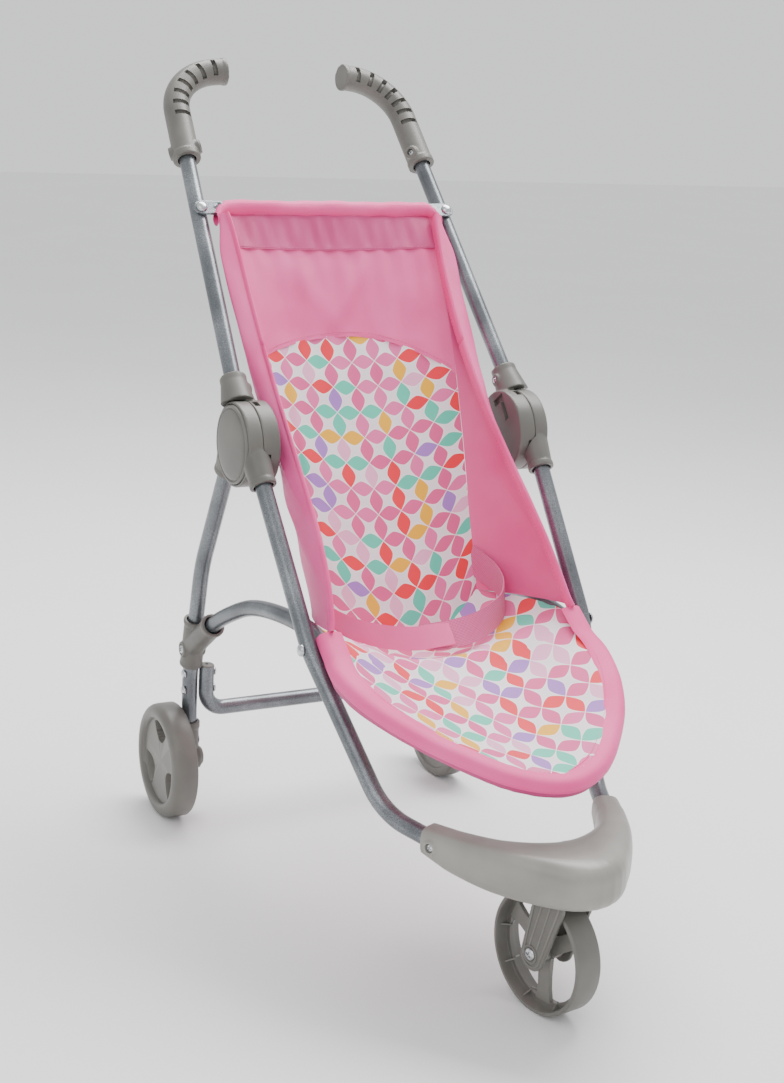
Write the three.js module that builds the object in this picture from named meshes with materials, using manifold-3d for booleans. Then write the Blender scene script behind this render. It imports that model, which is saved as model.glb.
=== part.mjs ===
// Doll stroller: a three-wheeled jogger with a sling seat, a caster at the nose and a fold at two hubs.
//
// Millimetres, +Z up. The stroller rolls towards -Y. Left and right are those of the child who
// pushes it, so left is +X. Sub-parts are laid out from the middle of the rear axle line, at y = 0
// and the floor at z = 0, inside a group that brings the middle of the footprint to the origin.

import * as THREE from 'three';
import { mergeVertices } from 'three/addons/utils/BufferGeometryUtils.js';
import { ConvexGeometry } from 'three/addons/geometries/ConvexGeometry.js';
import Module from 'manifold-3d';

const wasm = await Module();
wasm.setup();

// ---------- driving dimensions ----------
const GAP = 0.3; // clearance between touching pieces
const REAR_AXLE_Y = 181.9; // rear axle behind the middle of the footprint

const TUBE_R = 7; // steel tube of 14 mm
const TUBE_SIDES = 12;
const SOCKET_R = 10.3; // plastic sockets round the tube
const BORE_R = TUBE_R + GAP;

const REAR_WHEEL_R = 52.4;
const REAR_WHEEL_W = 23;
const REAR_WHEEL_X = 132; // inner face of a rear wheel
const FRONT_WHEEL_R = 48.2;
const FRONT_WHEEL_W = 22.8;
const WHEEL_SIDES = 32;

const HUB_Y = -124; // fold axis
const HUB_Z = 374;
const HUB_R = 35;
const HUB_IN_X = 112; // inner face, parting face and outer face of a hub
const HUB_MID_X = 127;
const HUB_OUT_X = 139.5;
const CAP_OUT_X = 143;
const CAP_R = 31;
const PIN_R = 4;

const TUBE_DEPTH = 10; // how far a tube reaches into a hub socket

const PIVOT_Y = -445.5; // caster pin
const TRAIL = 15; // wheel centre behind the caster pin
const CASTER_YAW = 9 * Math.PI / 180; // how the free caster stands
const NOSE_LOW = 102.5;
const NOSE_TOP = 142.5;

const SLOPE = 18.4 * Math.PI / 180; // how the seat loop falls towards the front
const LOOP_Y = -255; // rivet through front leg and seat tube
const LOOP_Z = 240;
const FABRIC_T = 3;

// ---------- materials ----------
const paint = new THREE.MeshStandardMaterial({ color: 0x8a9096, roughness: 0.32, metalness: 0.75 });
const plastic = new THREE.MeshStandardMaterial({ color: 0x9b9a94, roughness: 0.5, metalness: 0 });
const steel = new THREE.MeshStandardMaterial({ color: 0xb9bcc0, roughness: 0.25, metalness: 1 });
const pink = new THREE.MeshStandardMaterial({ color: 0xf08db8, roughness: 0.75, metalness: 0 });
const print = new THREE.MeshStandardMaterial({ color: 0xf3c9d8, roughness: 0.8, metalness: 0 });

// ---------- helpers ----------
const at = (x, y, z) => new THREE.Vector3(x, y, z);
const stroller = new THREE.Group();
const layout = new THREE.Group();
layout.position.y = REAR_AXLE_Y;
stroller.add(layout);

function add(name, geometry, material, parent = layout) {
  const mesh = new THREE.Mesh(geometry, material);
  mesh.name = name;
  parent.add(mesh);
  return mesh;
}

// closed three.js geometry -> solid, and back
function solid(geometry) {
  const bare = geometry.clone();
  bare.deleteAttribute('normal');
  bare.deleteAttribute('uv');
  const merged = mergeVertices(bare, 1e-4);
  const vertProperties = new Float32Array(merged.attributes.position.array);
  const triVerts = new Uint32Array(merged.index.array);
  return new wasm.Manifold(new wasm.Mesh({ numProp: 3, vertProperties, triVerts }));
}

function geometryOf(body) {
  const { vertProperties, triVerts } = body.getMesh();
  const geometry = new THREE.BufferGeometry();
  geometry.setAttribute('position', new THREE.BufferAttribute(vertProperties, 3));
  geometry.setIndex(new THREE.BufferAttribute(triVerts, 1));
  geometry.computeVertexNormals();
  return geometry;
}

const join = (geometries) => geometries.map(solid).reduce((sum, next) => sum.add(next));
const cut = (body, geometries) => geometries.map(solid).reduce((rest, tool) => rest.subtract(tool), body);

// a curve through chosen points, with its stations exactly at those points
class Stations extends THREE.Curve {
  constructor(points) {
    super();
    this.points = points;
  }

  getPoint(t, target = new THREE.Vector3()) {
    const along = Math.min(Math.max(t, 0), 1) * (this.points.length - 1);
    const i = Math.min(Math.floor(along), this.points.length - 2);
    return target.lerpVectors(this.points[i], this.points[i + 1], along - i);
  }

  getPointAt(t, target) {
    return this.getPoint(t, target);
  }

  getTangentAt(t, target = new THREE.Vector3()) {
    const step = 0.5 / (this.points.length - 1);
    return target.subVectors(this.getPoint(t + step), this.getPoint(t - step)).normalize();
  }
}

const circle = (r) => new THREE.Shape().absarc(0, 0, r, 0, 2 * Math.PI);

function sweep(points, r, sides = TUBE_SIDES) {
  const steps = points.length - 1;
  return new THREE.ExtrudeGeometry(circle(r), {
    steps, curveSegments: sides / 2, extrudePath: new Stations(points),
  });
}

// corner points with each inner corner rounded to its radius
function bend(corners, radii, stepsPerBend = 5) {
  const points = [corners[0]];
  for (let i = 1; i < corners.length - 1; i += 1) {
    const back = corners[i - 1].clone().sub(corners[i]).normalize();
    const on = corners[i + 1].clone().sub(corners[i]).normalize();
    const half = back.angleTo(on) / 2;
    const reach = radii[i - 1] / Math.tan(half);
    const inward = back.clone().add(on).normalize();
    const centre = corners[i].clone().addScaledVector(inward, radii[i - 1] / Math.sin(half));
    const from = corners[i].clone().addScaledVector(back, reach).sub(centre);
    const to = corners[i].clone().addScaledVector(on, reach).sub(centre);
    const axis = from.clone().cross(to).normalize();
    const turn = Math.PI - 2 * half;
    for (let k = 0; k <= stepsPerBend; k += 1) {
      points.push(from.clone().applyAxisAngle(axis, turn * k / stepsPerBend).add(centre));
    }
  }
  points.push(corners[corners.length - 1]);
  return points;
}

const rod = (from, to, r, sides = TUBE_SIDES) => sweep([from, to], r, sides);
const lerp = (a, b, t) => a.clone().lerp(b, t);
const toward = (a, b, distance) => a.clone().addScaledVector(b.clone().sub(a).normalize(), distance);

// a turned piece about the X axis: profile of [x, radius], closed on the axis
function turnedX(profile, side, sides = WHEEL_SIDES) {
  const outline = profile.map(([x, r]) => new THREE.Vector2(r, side * x));
  if (side < 0) outline.reverse();
  const geometry = new THREE.LatheGeometry(outline, sides, Math.PI / sides);
  return geometry.rotateZ(-Math.PI / 2);
}

const ringX = (x0, x1, r) => [[x0, 0], [x0, r], [x1, r], [x1, 0]];

// a flat outline given in the YZ plane, thick along X
function plateX(shape, x0, x1, curveSegments = 10) {
  const geometry = new THREE.ExtrudeGeometry(shape, { depth: x1 - x0, bevelEnabled: false, curveSegments });
  const lay = new THREE.Matrix4().makeBasis(at(0, 1, 0), at(0, 0, 1), at(1, 0, 0));
  return geometry.applyMatrix4(lay).translate(x0, 0, 0);
}

// a skin over rings of equal point count, closed by a fan at each end
function loft(rings) {
  const count = rings[0].length;
  const index = [];
  for (let k = 0; k < rings.length - 1; k += 1) {
    for (let i = 0; i < count; i += 1) {
      const [a, b] = [k * count + i, k * count + (i + 1) % count];
      index.push(a, a + count, b, b, a + count, b + count);
    }
  }
  const last = (rings.length - 1) * count;
  for (let i = 1; i < count - 1; i += 1) index.push(0, i, i + 1, last, last + i + 1, last + i);
  const geometry = new THREE.BufferGeometry().setFromPoints(rings.flat());
  geometry.setIndex(index);
  return geometry;
}

// dome head with its shank, from the head's seat towards the point
function screw(seat, tip, headR, headH, shankR) {
  const out = toward(seat, tip, -headH);
  const head = rod(out, seat, headR, 8);
  const shank = rod(toward(seat, tip, -0.5), tip, shankR, 6);
  return geometryOf(join([head, shank]));
}

// a rivet: a head at each end
function rivet(a, b, headR, headH, shankR) {
  const heads = [rod(toward(a, b, -headH), a, headR, 8), rod(b, toward(b, a, -headH), headR, 8)];
  const shank = rod(toward(a, b, -0.5), toward(b, a, -0.5), shankR, 6);
  return geometryOf(join([...heads, shank]));
}

// ---------- where the frame runs (x is mirrored by side) ----------
const upperLow = (s) => at(s * 128.9, -95, 421.5);
const upperFoot = (s) => at(s * 115.8, 56, 588.2); // where the tube enters the grip
const upperStart = (s) => toward(upperLow(s), upperFoot(s), -TUBE_DEPTH);
const upperEnd = (s) => toward(upperFoot(s), upperLow(s), -46);

const frontTop = (s) => at(s * 130, -166, 350);
const frontKnee = (s) => at(s * 125.3, -255.4, 240.1);
const frontStart = (s) => toward(frontTop(s), frontKnee(s), -TUBE_DEPTH);
const frontHeel = (s) => at(s * 95, -335, 132);
const frontEnter = (s) => at(s * 77.8, -378, 127);
const frontEnd = (s) => toward(frontEnter(s), frontHeel(s), -36);

const rearTop = (s) => at(s * 129, -92.2, 351.5);
const rearElbow = (s) => at(s * 126, -30, 244);
const rearAnkle = (s) => at(s * 123.6, -1, 133);
const rearFoot = (s) => at(s * 122.5, 0, 63);

const crossbarX = 108.6; // lower crossbar's upright ends, inside the legs
const rivetHeights = [135.4, 119.4];

function loopPoint(x, along) {
  return at(x, LOOP_Y - along * Math.cos(SLOPE), LOOP_Z - along * Math.sin(SLOPE));
}

// ---------- frame tubes ----------
function frontLeg(s) {
  const corners = [frontStart(s), frontKnee(s), frontHeel(s), frontEnter(s), frontEnd(s)];
  return sweep(bend(corners, [110, 55, 300], 5), TUBE_R);
}

function rearLeg(s) {
  return sweep(bend([rearTop(s), rearElbow(s), rearAnkle(s), rearFoot(s)], [130, 130], 5), TUBE_R);
}

function lowerCrossbar() {
  const corners = [-1, -1, 1, 1].map((s, i) => at(s * crossbarX, -4, i % 3 === 0 ? 140.8 : 99));
  return sweep(bend(corners, [17, 17], 6), TUBE_R);
}

// half widths of the seat loop against the distance in front of the rivet
const loopHalf = [[110.2, 0], [110.2, 16], [112.5, 42], [105, 76], [87, 113], [61, 148], [31, 177]];

function seatTube() {
  const side = (s) => [
    ...[24, 12, 0, -8].map((back) => toward(branchMouth(s), branchRoot(s), back)),
    at(s * 119, -80, 214), at(s * 116, -118, 231), at(s * 113, -167, 241), at(s * 110.2, -222, 244),
    ...loopHalf.map(([x, along]) => loopPoint(s * x, along)),
  ];
  const route = [...side(1), loopPoint(0, 188), ...side(-1).reverse()];
  const curve = new THREE.CatmullRomCurve3(route, false, 'centripetal');
  return sweep(curve.getSpacedPoints(46), TUBE_R);
}

// ---------- hubs ----------
const hubPoint = (s, x) => at(s * x, HUB_Y, HUB_Z);
const drum = (s, x0, x1, r, sides = 30) => turnedX(ringX(x0, x1, r), s, sides).translate(0, HUB_Y, HUB_Z);

// half of a hub with its tube sockets, kept out of the other half's drum
function hubShell(s, x0, x1, otherX0, otherX1, sockets, pocket) {
  let body = solid(drum(s, x0, x1, HUB_R));
  for (const [from, mouth] of sockets) {
    const arm = solid(rod(from, mouth, SOCKET_R, 16));
    const clear = cut(arm, [drum(s, otherX0, otherX1, HUB_R + 0.6)]);
    body = body.add(clear);
  }
  const bores = sockets.map(([from, mouth]) => {
    const floor = toward(mouth, from, TUBE_DEPTH + 1.2);
    return rod(floor, toward(mouth, from, -2), BORE_R);
  });
  return cut(body, [...pocket, ...bores]);
}

function handleShell(s) {
  const arm = [toward(upperLow(s), upperFoot(s), -28), toward(upperLow(s), upperFoot(s), 1)];
  const pocket = [
    drum(s, HUB_IN_X + 3, HUB_MID_X + 1, 22, 24),
    drum(s, HUB_IN_X - 1, HUB_IN_X + 4, PIN_R + GAP, 16),
  ];
  return geometryOf(hubShell(s, HUB_IN_X, HUB_MID_X - GAP, HUB_MID_X - 0.6, 160, [arm], pocket));
}

function frameShell(s) {
  const front = [toward(frontTop(s), frontKnee(s), -28), toward(frontTop(s), frontKnee(s), 1)];
  const rear = [toward(rearTop(s), rearElbow(s), -16), toward(rearTop(s), rearElbow(s), TUBE_DEPTH)];
  const pocket = [
    drum(s, HUB_MID_X - 1, HUB_MID_X + 7.5, 22, 24),
    drum(s, HUB_MID_X + 7, HUB_OUT_X, PIN_R + GAP, 16),
    drum(s, HUB_OUT_X - 4, HUB_OUT_X + 4, CAP_R + 0.6, 24),
    drum(s, HUB_OUT_X - 7, HUB_OUT_X - 3, 17, 24),
  ];
  const shell = hubShell(s, HUB_MID_X + GAP, HUB_OUT_X, 90, HUB_MID_X + 0.6, [front, rear], pocket);
  return geometryOf(shell);
}

// round push cap: a low dome, with a collar that reaches in towards the lock gear
function hubButton(s) {
  const dome = HUB_OUT_X + 0.6;
  const profile = [
    [HUB_OUT_X - 2.6, 0], [HUB_OUT_X - 2.6, 14], [HUB_OUT_X - 0.6, 14], [HUB_OUT_X - 0.6, CAP_R],
    [dome + 1, CAP_R], [dome + 2.6, CAP_R - 2],
    [CAP_OUT_X - 0.6, CAP_R - 10], [CAP_OUT_X, CAP_R - 19], [CAP_OUT_X, 0],
  ];
  return turnedX(profile, s, 24).translate(0, HUB_Y, HUB_Z);
}

// toothed ring that locks the two halves together
function lockGear(s) {
  const teeth = 12;
  const outline = new THREE.Shape();
  for (let i = 0; i < teeth * 4; i += 1) {
    const angle = 2 * Math.PI * i / (teeth * 4);
    const r = i % 4 < 2 ? 20.5 : 17.5;
    const method = i === 0 ? 'moveTo' : 'lineTo';
    outline[method](r * Math.cos(angle), r * Math.sin(angle));
  }
  outline.closePath();
  outline.holes.push(new THREE.Path().absarc(0, 0, PIN_R + 0.8, 0, 2 * Math.PI, true));
  const x0 = HUB_MID_X - 5;
  const x1 = HUB_MID_X + 6;
  const [low, high] = s > 0 ? [x0, x1] : [-x1, -x0];
  return plateX(outline, low, high, 6).translate(0, HUB_Y, HUB_Z);
}

// return spring round the pin, between the handle half and the lock gear, at its pressed length
function hubSpring(s) {
  const profile = [
    [HUB_IN_X + 3.3, 6], [HUB_IN_X + 3.3, 9], [HUB_MID_X - 8.6, 9], [HUB_MID_X - 8.6, 6], [HUB_IN_X + 3.3, 6],
  ];
  return turnedX(profile, s, 16).translate(0, HUB_Y, HUB_Z);
}

function hubPin(s) {
  return rod(hubPoint(s, HUB_IN_X + 0.5), hubPoint(s, HUB_OUT_X - 6.2), PIN_R, 12);
}

// ---------- handle ----------
const gripCorner = (s) => at(s * 110.3, 119.7, 658.5);
const gripEnd = (s) => at(s * 58, 116.6, 662.6);

function grip(s) {
  const path = bend([upperFoot(s), gripCorner(s), gripEnd(s)], [46], 7);
  const outer = solid(sweep(path, 12, 14));
  const away = at(0, -Math.sin(0.9), Math.cos(0.9));
  const boss = upperFoot(s).lerp(gripCorner(s), 0.08);
  const [bossLow, bossHigh] = [-13.4, 13.4].map((out) => boss.clone().addScaledVector(away, out));
  const bosses = rod(bossLow, bossHigh, 6, 12);
  const bore = rod(toward(upperFoot(s), upperLow(s), 2), toward(upperEnd(s), upperLow(s), -GAP), BORE_R);
  return geometryOf(cut(outer.add(solid(bosses)), [bore]));
}

// top crossbar: a round bar with flattened, rounded ends that lie on the front of the upper tubes
const barAt = (s) => lerp(upperLow(s), upperFoot(s), 0.741);
const tubeSlope = upperFoot(1).sub(upperLow(1)).normalize();
const barOut = at(0, -tubeSlope.z, tubeSlope.y).normalize();
const BAR_OFF = TUBE_R + GAP + 1.5;
const BAR_R = 5.2;

function topCrossbar() {
  const middle = barAt(1).setX(0).addScaledVector(barOut, BAR_OFF);
  const bar = rod(middle.clone().setX(-104), middle.clone().setX(104), BAR_R, 12);
  const tabs = [-1, 1].map((s) => {
    const outline = new THREE.Shape();
    outline.moveTo(s * 98, -7);
    outline.absarc(s * barAt(1).x, 0, 7, s > 0 ? -Math.PI / 2 : 3 * Math.PI / 2, Math.PI / 2, s < 0);
    outline.lineTo(s * 98, 7);
    outline.closePath();
    const tab = new THREE.ExtrudeGeometry(outline, { depth: 2.4, bevelEnabled: false, curveSegments: 8 });
    const up = at(1, 0, 0).cross(barOut).negate();
    const lay = new THREE.Matrix4().makeBasis(at(1, 0, 0), up, at(1, 0, 0).cross(up));
    return tab.translate(0, 0, -1.2).applyMatrix4(lay.setPosition(middle));
  });
  return { bar, tabs };
}

// ---------- nose and caster ----------
// sections of the nose from an arm's mouth to the middle: x, y, half width, floor, top
const noseSections = [
  [78.4, -376.4, 10.4, 116.8, 137.6], [66, -404, 12, 109, 139], [50, -429, 15, 105, 141],
  [27, -450, 22, 103, NOSE_TOP], [0, -462, 31, NOSE_LOW, NOSE_TOP],
];

// a rounded section across the run of the nose
function noseSection([x, y, half, low, top], heading) {
  const across = at(Math.cos(heading), Math.sin(heading), 0);
  return Array.from({ length: 16 }, (_, i) => {
    const angle = 2 * Math.PI * i / 16;
    const round = (value) => Math.sign(value) * Math.abs(value) ** 0.72;
    const corner = at(x, y, (low + top) / 2 + round(Math.sin(angle)) * (top - low) / 2);
    return corner.addScaledVector(across, round(Math.cos(angle)) * half);
  });
}

function nose() {
  const half = (s) => noseSections.map(([x, ...rest]) => [s * x, ...rest]);
  const run = [...half(-1), ...half(1).slice(0, -1).reverse()];
  const rings = run.map((section, i) => {
    const before = run[Math.max(i - 1, 0)];
    const after = run[Math.min(i + 1, run.length - 1)];
    return noseSection(section, Math.atan2(after[1] - before[1], after[0] - before[0]) - Math.PI / 2);
  });
  const body = solid(loft(rings));
  const pocket = rod(at(0, PIVOT_Y, NOSE_LOW - 5), at(0, PIVOT_Y, NOSE_LOW + 6.5), 12, 24);
  const pinHole = rod(at(0, PIVOT_Y, NOSE_LOW - 5), at(0, PIVOT_Y, NOSE_TOP - 9), PIN_R + GAP, 12);
  const bores = [-1, 1].map((s) => {
    const end = frontEnd(s);
    return rod(toward(frontEnter(s), end, -30), toward(end, frontEnter(s), -1), BORE_R);
  });
  return cut(body, [pocket, pinHole, ...bores]);
}

const noseScrewAt = (s) => toward(frontEnter(s), frontEnd(s), 9);
function noseScrewAxis(s) {
  const run = frontEnd(s).sub(frontEnter(s)).setZ(0).normalize();
  return at(-run.y * s, run.x * s, 0);
}

function forkOutline() {
  const outline = new THREE.Shape();
  outline.moveTo(-16, NOSE_LOW - 1);
  outline.lineTo(-16, NOSE_LOW - 9);
  outline.absarc(TRAIL - 1, FRONT_WHEEL_R, 12.5, Math.PI * 1.08, Math.PI * 1.97, false);
  outline.lineTo(17, NOSE_LOW - 9);
  outline.lineTo(17, NOSE_LOW - 1);
  outline.closePath();
  return outline;
}

function fork() {
  const cheeks = [-15.9, 12.3].map((x) => plateX(forkOutline(), x, x + 3.6, 8));
  const crown = new THREE.BoxGeometry(31.8, 33, 3.5).translate(0, 0.5, NOSE_LOW - 2.75);
  const boss = rod(at(0, 0, NOSE_LOW - 2), at(0, 0, NOSE_LOW + 6), 10, 20);
  const body = join([...cheeks, crown, boss]);
  const axleHole = rod(at(-20, TRAIL, FRONT_WHEEL_R), at(20, TRAIL, FRONT_WHEEL_R), 3 + GAP, 12);
  const pinHole = rod(at(0, 0, NOSE_LOW - 8), at(0, 0, NOSE_LOW + 8), PIN_R + GAP, 12);
  return geometryOf(cut(body, [axleHole, pinHole]));
}

function frontWheel() {
  const half = FRONT_WHEEL_W / 2;
  const outer = FRONT_WHEEL_R / Math.cos(Math.PI / WHEEL_SIDES);
  const rim = turnedX([
    [-half, outer - 3.4], [-half, outer - 0.8], [-half + 0.8, outer], [half - 0.8, outer],
    [half, outer - 0.8], [half, outer - 3.4], [1.5, outer - 4.2], [1.5, outer - 7.5],
    [-1.5, outer - 7.5], [-1.5, outer - 4.2], [-half, outer - 3.4],
  ], 1);
  const hub = turnedX(ringX(-11.6, 11.6, 8.5), 1, 20);
  const spokes = [0, 1, 2].map((i) => {
    const reach = outer - 9;
    const plate = new THREE.BoxGeometry(13, reach, 3.2).translate(0, 5 + reach / 2, 0);
    return plate.rotateX(Math.PI * (0.31 + i * 2 / 3));
  });
  const body = join([rim, hub, ...spokes]);
  return geometryOf(cut(body, [turnedX(ringX(-15, 15, 3 + GAP), 1, 12)]));
}

// ---------- rear wheels ----------
function rearWheel(s) {
  const outer = REAR_WHEEL_R / Math.cos(Math.PI / WHEEL_SIDES);
  const w = REAR_WHEEL_W;
  const tyre = [
    [0, 0], [0, 12], [2.5, 14], [2.5, outer - 9], [0, outer - 7], [0, outer - 1.5],
    [1.5, outer], [w - 7, outer], [w - 3.2, outer - 1.4], [w - 0.8, outer - 4.4],
    [w, outer - 8], [w - 1.4, outer - 12], [w - 5, outer - 13.5], [w - 5, 0],
  ];
  const body = solid(turnedX(tyre, s));
  const lens = new THREE.Shape();
  const rimArc = 37.2;
  const rimHalf = 0.46;
  lens.absarc(0, 0, rimArc, -rimHalf, rimHalf, false);
  lens.quadraticCurveTo(6, 0, rimArc * Math.cos(rimHalf), -rimArc * Math.sin(rimHalf));
  const windows = [0, 1, 2].map((i) => {
    const turn = Math.PI / 2 + i * 2 * Math.PI / 3;
    return plateX(lens, -5, w + 5, 10).rotateX(turn);
  });
  const bore = turnedX(ringX(-3, w - 8, 3 + GAP), s, 12);
  if (s < 0) windows.forEach((window) => window.rotateY(Math.PI));
  return geometryOf(cut(body, [...windows, bore]));
}

function axleBracket(s) {
  const foot = rearFoot(s);
  const sleeve = rod(at(foot.x, 0, REAR_WHEEL_R - 2), at(foot.x + s * 0.4, 0, 88), 9.2, 14);
  const eye = rod(at(s * 113.5, 0, REAR_WHEEL_R), at(s * (REAR_WHEEL_X - 0.8), 0, REAR_WHEEL_R), 11.5, 18);
  const legHole = rod(rearFoot(s).add(at(0, 0, -GAP)), lerp(rearFoot(s), rearAnkle(s), 0.5), BORE_R);
  const axleHole = rod(at(s * 112, 0, REAR_WHEEL_R), at(s * 135, 0, REAR_WHEEL_R), 3 + GAP, 12);
  return geometryOf(cut(join([sleeve, eye]), [legHole, axleHole]));
}

// ---------- Y brackets ----------
const bracketLow = (s) => lerp(rearAnkle(s), rearElbow(s), 0.1);
const bracketHigh = (s) => lerp(rearAnkle(s), rearElbow(s), 0.52);
const branchRoot = (s) => lerp(rearAnkle(s), rearElbow(s), 0.28);
const branchMouth = (s) => at(s * 121, -48, 194.5);

function yBracket(s) {
  const sleeve = rod(bracketLow(s), bracketHigh(s), SOCKET_R, 16);
  const branch = rod(branchRoot(s), branchMouth(s), 10, 16);
  const leg = rod(rearAnkle(s), rearElbow(s), BORE_R);
  const [inner, outer] = [27, -3].map((depth) => toward(branchMouth(s), branchRoot(s), depth));
  const branchBore = rod(inner, outer, BORE_R);
  return cut(join([sleeve, branch]), [leg, branchBore]);
}

const bracketScrewAt = (s) => lerp(rearAnkle(s), rearElbow(s), 0.25);

// ---------- soft parts ----------
// back panel between the hem and the crease, and wings from its edges to the front edge of the sling
const BACK_TOP = [100, -7, 519];
const BACK_FOOT = [76, -176, 209];

function backPanel() {
  const [topX, topY, topZ] = BACK_TOP;
  const [footX, footY, footZ] = BACK_FOOT;
  const face = [
    at(topX, topY, topZ), at(-topX, topY, topZ), at(-footX, footY, footZ), at(footX, footY, footZ),
  ];
  const through = at(0, FABRIC_T * 0.88, -FABRIC_T * 0.47);
  return new ConvexGeometry([...face, ...face.map((corner) => corner.clone().add(through))]);
}

function wing(s) {
  const corners = [at(s * 102, -14, 514), at(s * 107, -276, 256), at(s * 78.5, -182, 214)];
  const far = corners.map((corner) => corner.clone().add(at(s * FABRIC_T, 0, 0)));
  return new ConvexGeometry([...corners, ...far]);
}

function hem() {
  const middle = barAt(1).setX(0).addScaledVector(barOut, BAR_OFF);
  const low = at(0, -tubeSlope.y, -tubeSlope.z).normalize();
  const block = new THREE.BoxGeometry(196, FABRIC_T, 18);
  const lean = Math.atan2(-low.y, -low.z);
  return block.rotateX(-lean).translate(0, middle.y + low.y * 15.2, middle.z + low.z * 15.2);
}

function seatPanel() {
  const inset = 12;
  const outline = new THREE.Shape();
  const front = [...loopHalf.map(([x, along]) => [x - inset, along]), [0, 188 - inset]];
  const points = [
    new THREE.Vector2(-BACK_FOOT[0], -74), new THREE.Vector2(BACK_FOOT[0], -74),
    ...front.map(([x, along]) => new THREE.Vector2(x, along * 0.93)),
    ...front.slice(0, -1).reverse().map(([x, along]) => new THREE.Vector2(-x, along * 0.93)),
  ];
  outline.setFromPoints(points);
  const slab = new THREE.ExtrudeGeometry(outline, { depth: 5, bevelEnabled: false });
  return slab.rotateX(Math.PI).rotateX(0.1).translate(0, LOOP_Y, 203);
}

// lap belt: two flat straps on an arc in front of the back panel, overlapping at the middle
function strap(radius, from, to) {
  const band = new THREE.Shape();
  band.absarc(0, 0, radius, from, to, false);
  band.absarc(0, 0, radius - 1.6, to, from, true);
  const flat = new THREE.ExtrudeGeometry(band, { depth: 23, bevelEnabled: false, curveSegments: 8 });
  return flat.rotateZ(-Math.PI / 2).scale(1, 0.62, 1).translate(0, -182, 222);
}

// ---------- assembly ----------
const sides = [['left', 1], ['right', -1]];

for (const [word, s] of sides) {
  const rivetSeat = [
    at(s * (frontKnee(s).x * s + TUBE_R + 0.2), LOOP_Y, LOOP_Z),
    at(s * (loopHalf[0][0] - TUBE_R - GAP), LOOP_Y, LOOP_Z),
  ];
  const rivetHole = rod(at(s * 140, LOOP_Y, LOOP_Z), at(s * 95, LOOP_Y, LOOP_Z), 1.8, 8);
  const nosePoint = noseScrewAt(s);
  const noseAxis = noseScrewAxis(s);
  const noseHole = rod(nosePoint, nosePoint.clone().addScaledVector(noseAxis, 30), 1.9, 8);
  add(`front_leg_${word}`, geometryOf(cut(solid(frontLeg(s)), [rivetHole, noseHole])), paint);
  add(`leg_rivet_${word}`, rivet(...rivetSeat, 5, 2, 1.5), steel);

  const barHoles = rivetHeights.map((z) => rod(at(s * 140, -4, z), at(s * 95, -4, z), 1.8, 8));
  const bracketAt = bracketScrewAt(s);
  const bracketHole = rod(bracketAt.clone().setX(s * 150), bracketAt.clone().setX(s * 105), 2.1, 8);
  add(`rear_leg_${word}`, geometryOf(cut(solid(rearLeg(s)), [...barHoles, bracketHole])), paint);
  for (const [i, z] of rivetHeights.entries()) {
    const legX = rearAnkle(s).x + s * (TUBE_R + 0.9);
    const name = `crossbar_rivet_${word}_${i === 0 ? 'upper' : 'lower'}`;
    add(name, rivet(at(legX, -4, z), at(s * (crossbarX - TUBE_R - 0.6), -4, z), 4.2, 1.8, 1.5), steel);
  }

  add(`y_bracket_${word}`, geometryOf(cut(yBracket(s), [bracketHole])), plastic);
  const seatOut = bracketAt.clone().setX(bracketAt.x + s * (SOCKET_R + 0.2));
  const seatIn = bracketAt.clone().setX(bracketAt.x - s * (SOCKET_R + 0.2));
  add(`y_bracket_screw_${word}`, rivet(seatOut, seatIn, 4.6, 2, 1.7), steel);

  add(`axle_bracket_${word}`, axleBracket(s), plastic);
  const capEnds = [109.5, 113.2].map((x) => at(s * x, 0, REAR_WHEEL_R));
  add(`axle_cap_${word}`, rod(...capEnds, 9, 18), plastic);
  const axleTip = at(s * (REAR_WHEEL_X + REAR_WHEEL_W - 8.6), 0, REAR_WHEEL_R);
  add(`rear_axle_${word}`, rod(at(s * 113.6, 0, REAR_WHEEL_R), axleTip, 3, 12), steel);
  const wheel = add(`rear_wheel_${word}`, rearWheel(s), plastic);
  wheel.position.set(s * REAR_WHEEL_X, 0, REAR_WHEEL_R);

  add(`hub_handle_shell_${word}`, handleShell(s), plastic);
  add(`hub_frame_shell_${word}`, frameShell(s), plastic);
  add(`hub_button_${word}`, hubButton(s), plastic);
  add(`lock_gear_${word}`, lockGear(s), plastic);
  add(`hub_spring_${word}`, hubSpring(s), steel);
  add(`hub_pin_${word}`, hubPin(s), steel);

  const barSeat = barAt(s).addScaledVector(barOut, BAR_OFF + 1.4);
  const barTip = barAt(s).addScaledVector(barOut, 1);
  const barHole = rod(toward(barTip, barSeat, -1), toward(barSeat, barTip, -3), 2, 8);
  const upper = rod(upperStart(s), upperEnd(s), TUBE_R);
  add(`upper_tube_${word}`, geometryOf(cut(solid(upper), [barHole])), paint);
  add(`crossbar_screw_${word}`, screw(barSeat, barTip, 5, 2.6, 1.7), steel);
  add(`grip_${word}`, grip(s), plastic);

  const headSeat = nosePoint.clone().addScaledVector(noseAxis, 10.1);
  const noseTip = nosePoint.clone().addScaledVector(noseAxis, 2);
  add(`nose_screw_${word}`, screw(headSeat, noseTip, 4.2, 1.6, 1.6), steel);
  add(`wing_${word}`, wing(s), pink);
}

const seatHoles = sides.map(([, s]) => rod(at(s * 140, LOOP_Y, LOOP_Z), at(s * 95, LOOP_Y, LOOP_Z), 1.8, 8));
add('seat_tube', geometryOf(cut(solid(seatTube()), seatHoles)), paint);

const barRivetHoles = sides.flatMap(([, s]) => rivetHeights.map(
  (z) => rod(at(s * 140, -4, z), at(s * 95, -4, z), 1.8, 8),
));
add('lower_crossbar', geometryOf(cut(solid(lowerCrossbar()), barRivetHoles)), paint);

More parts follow.
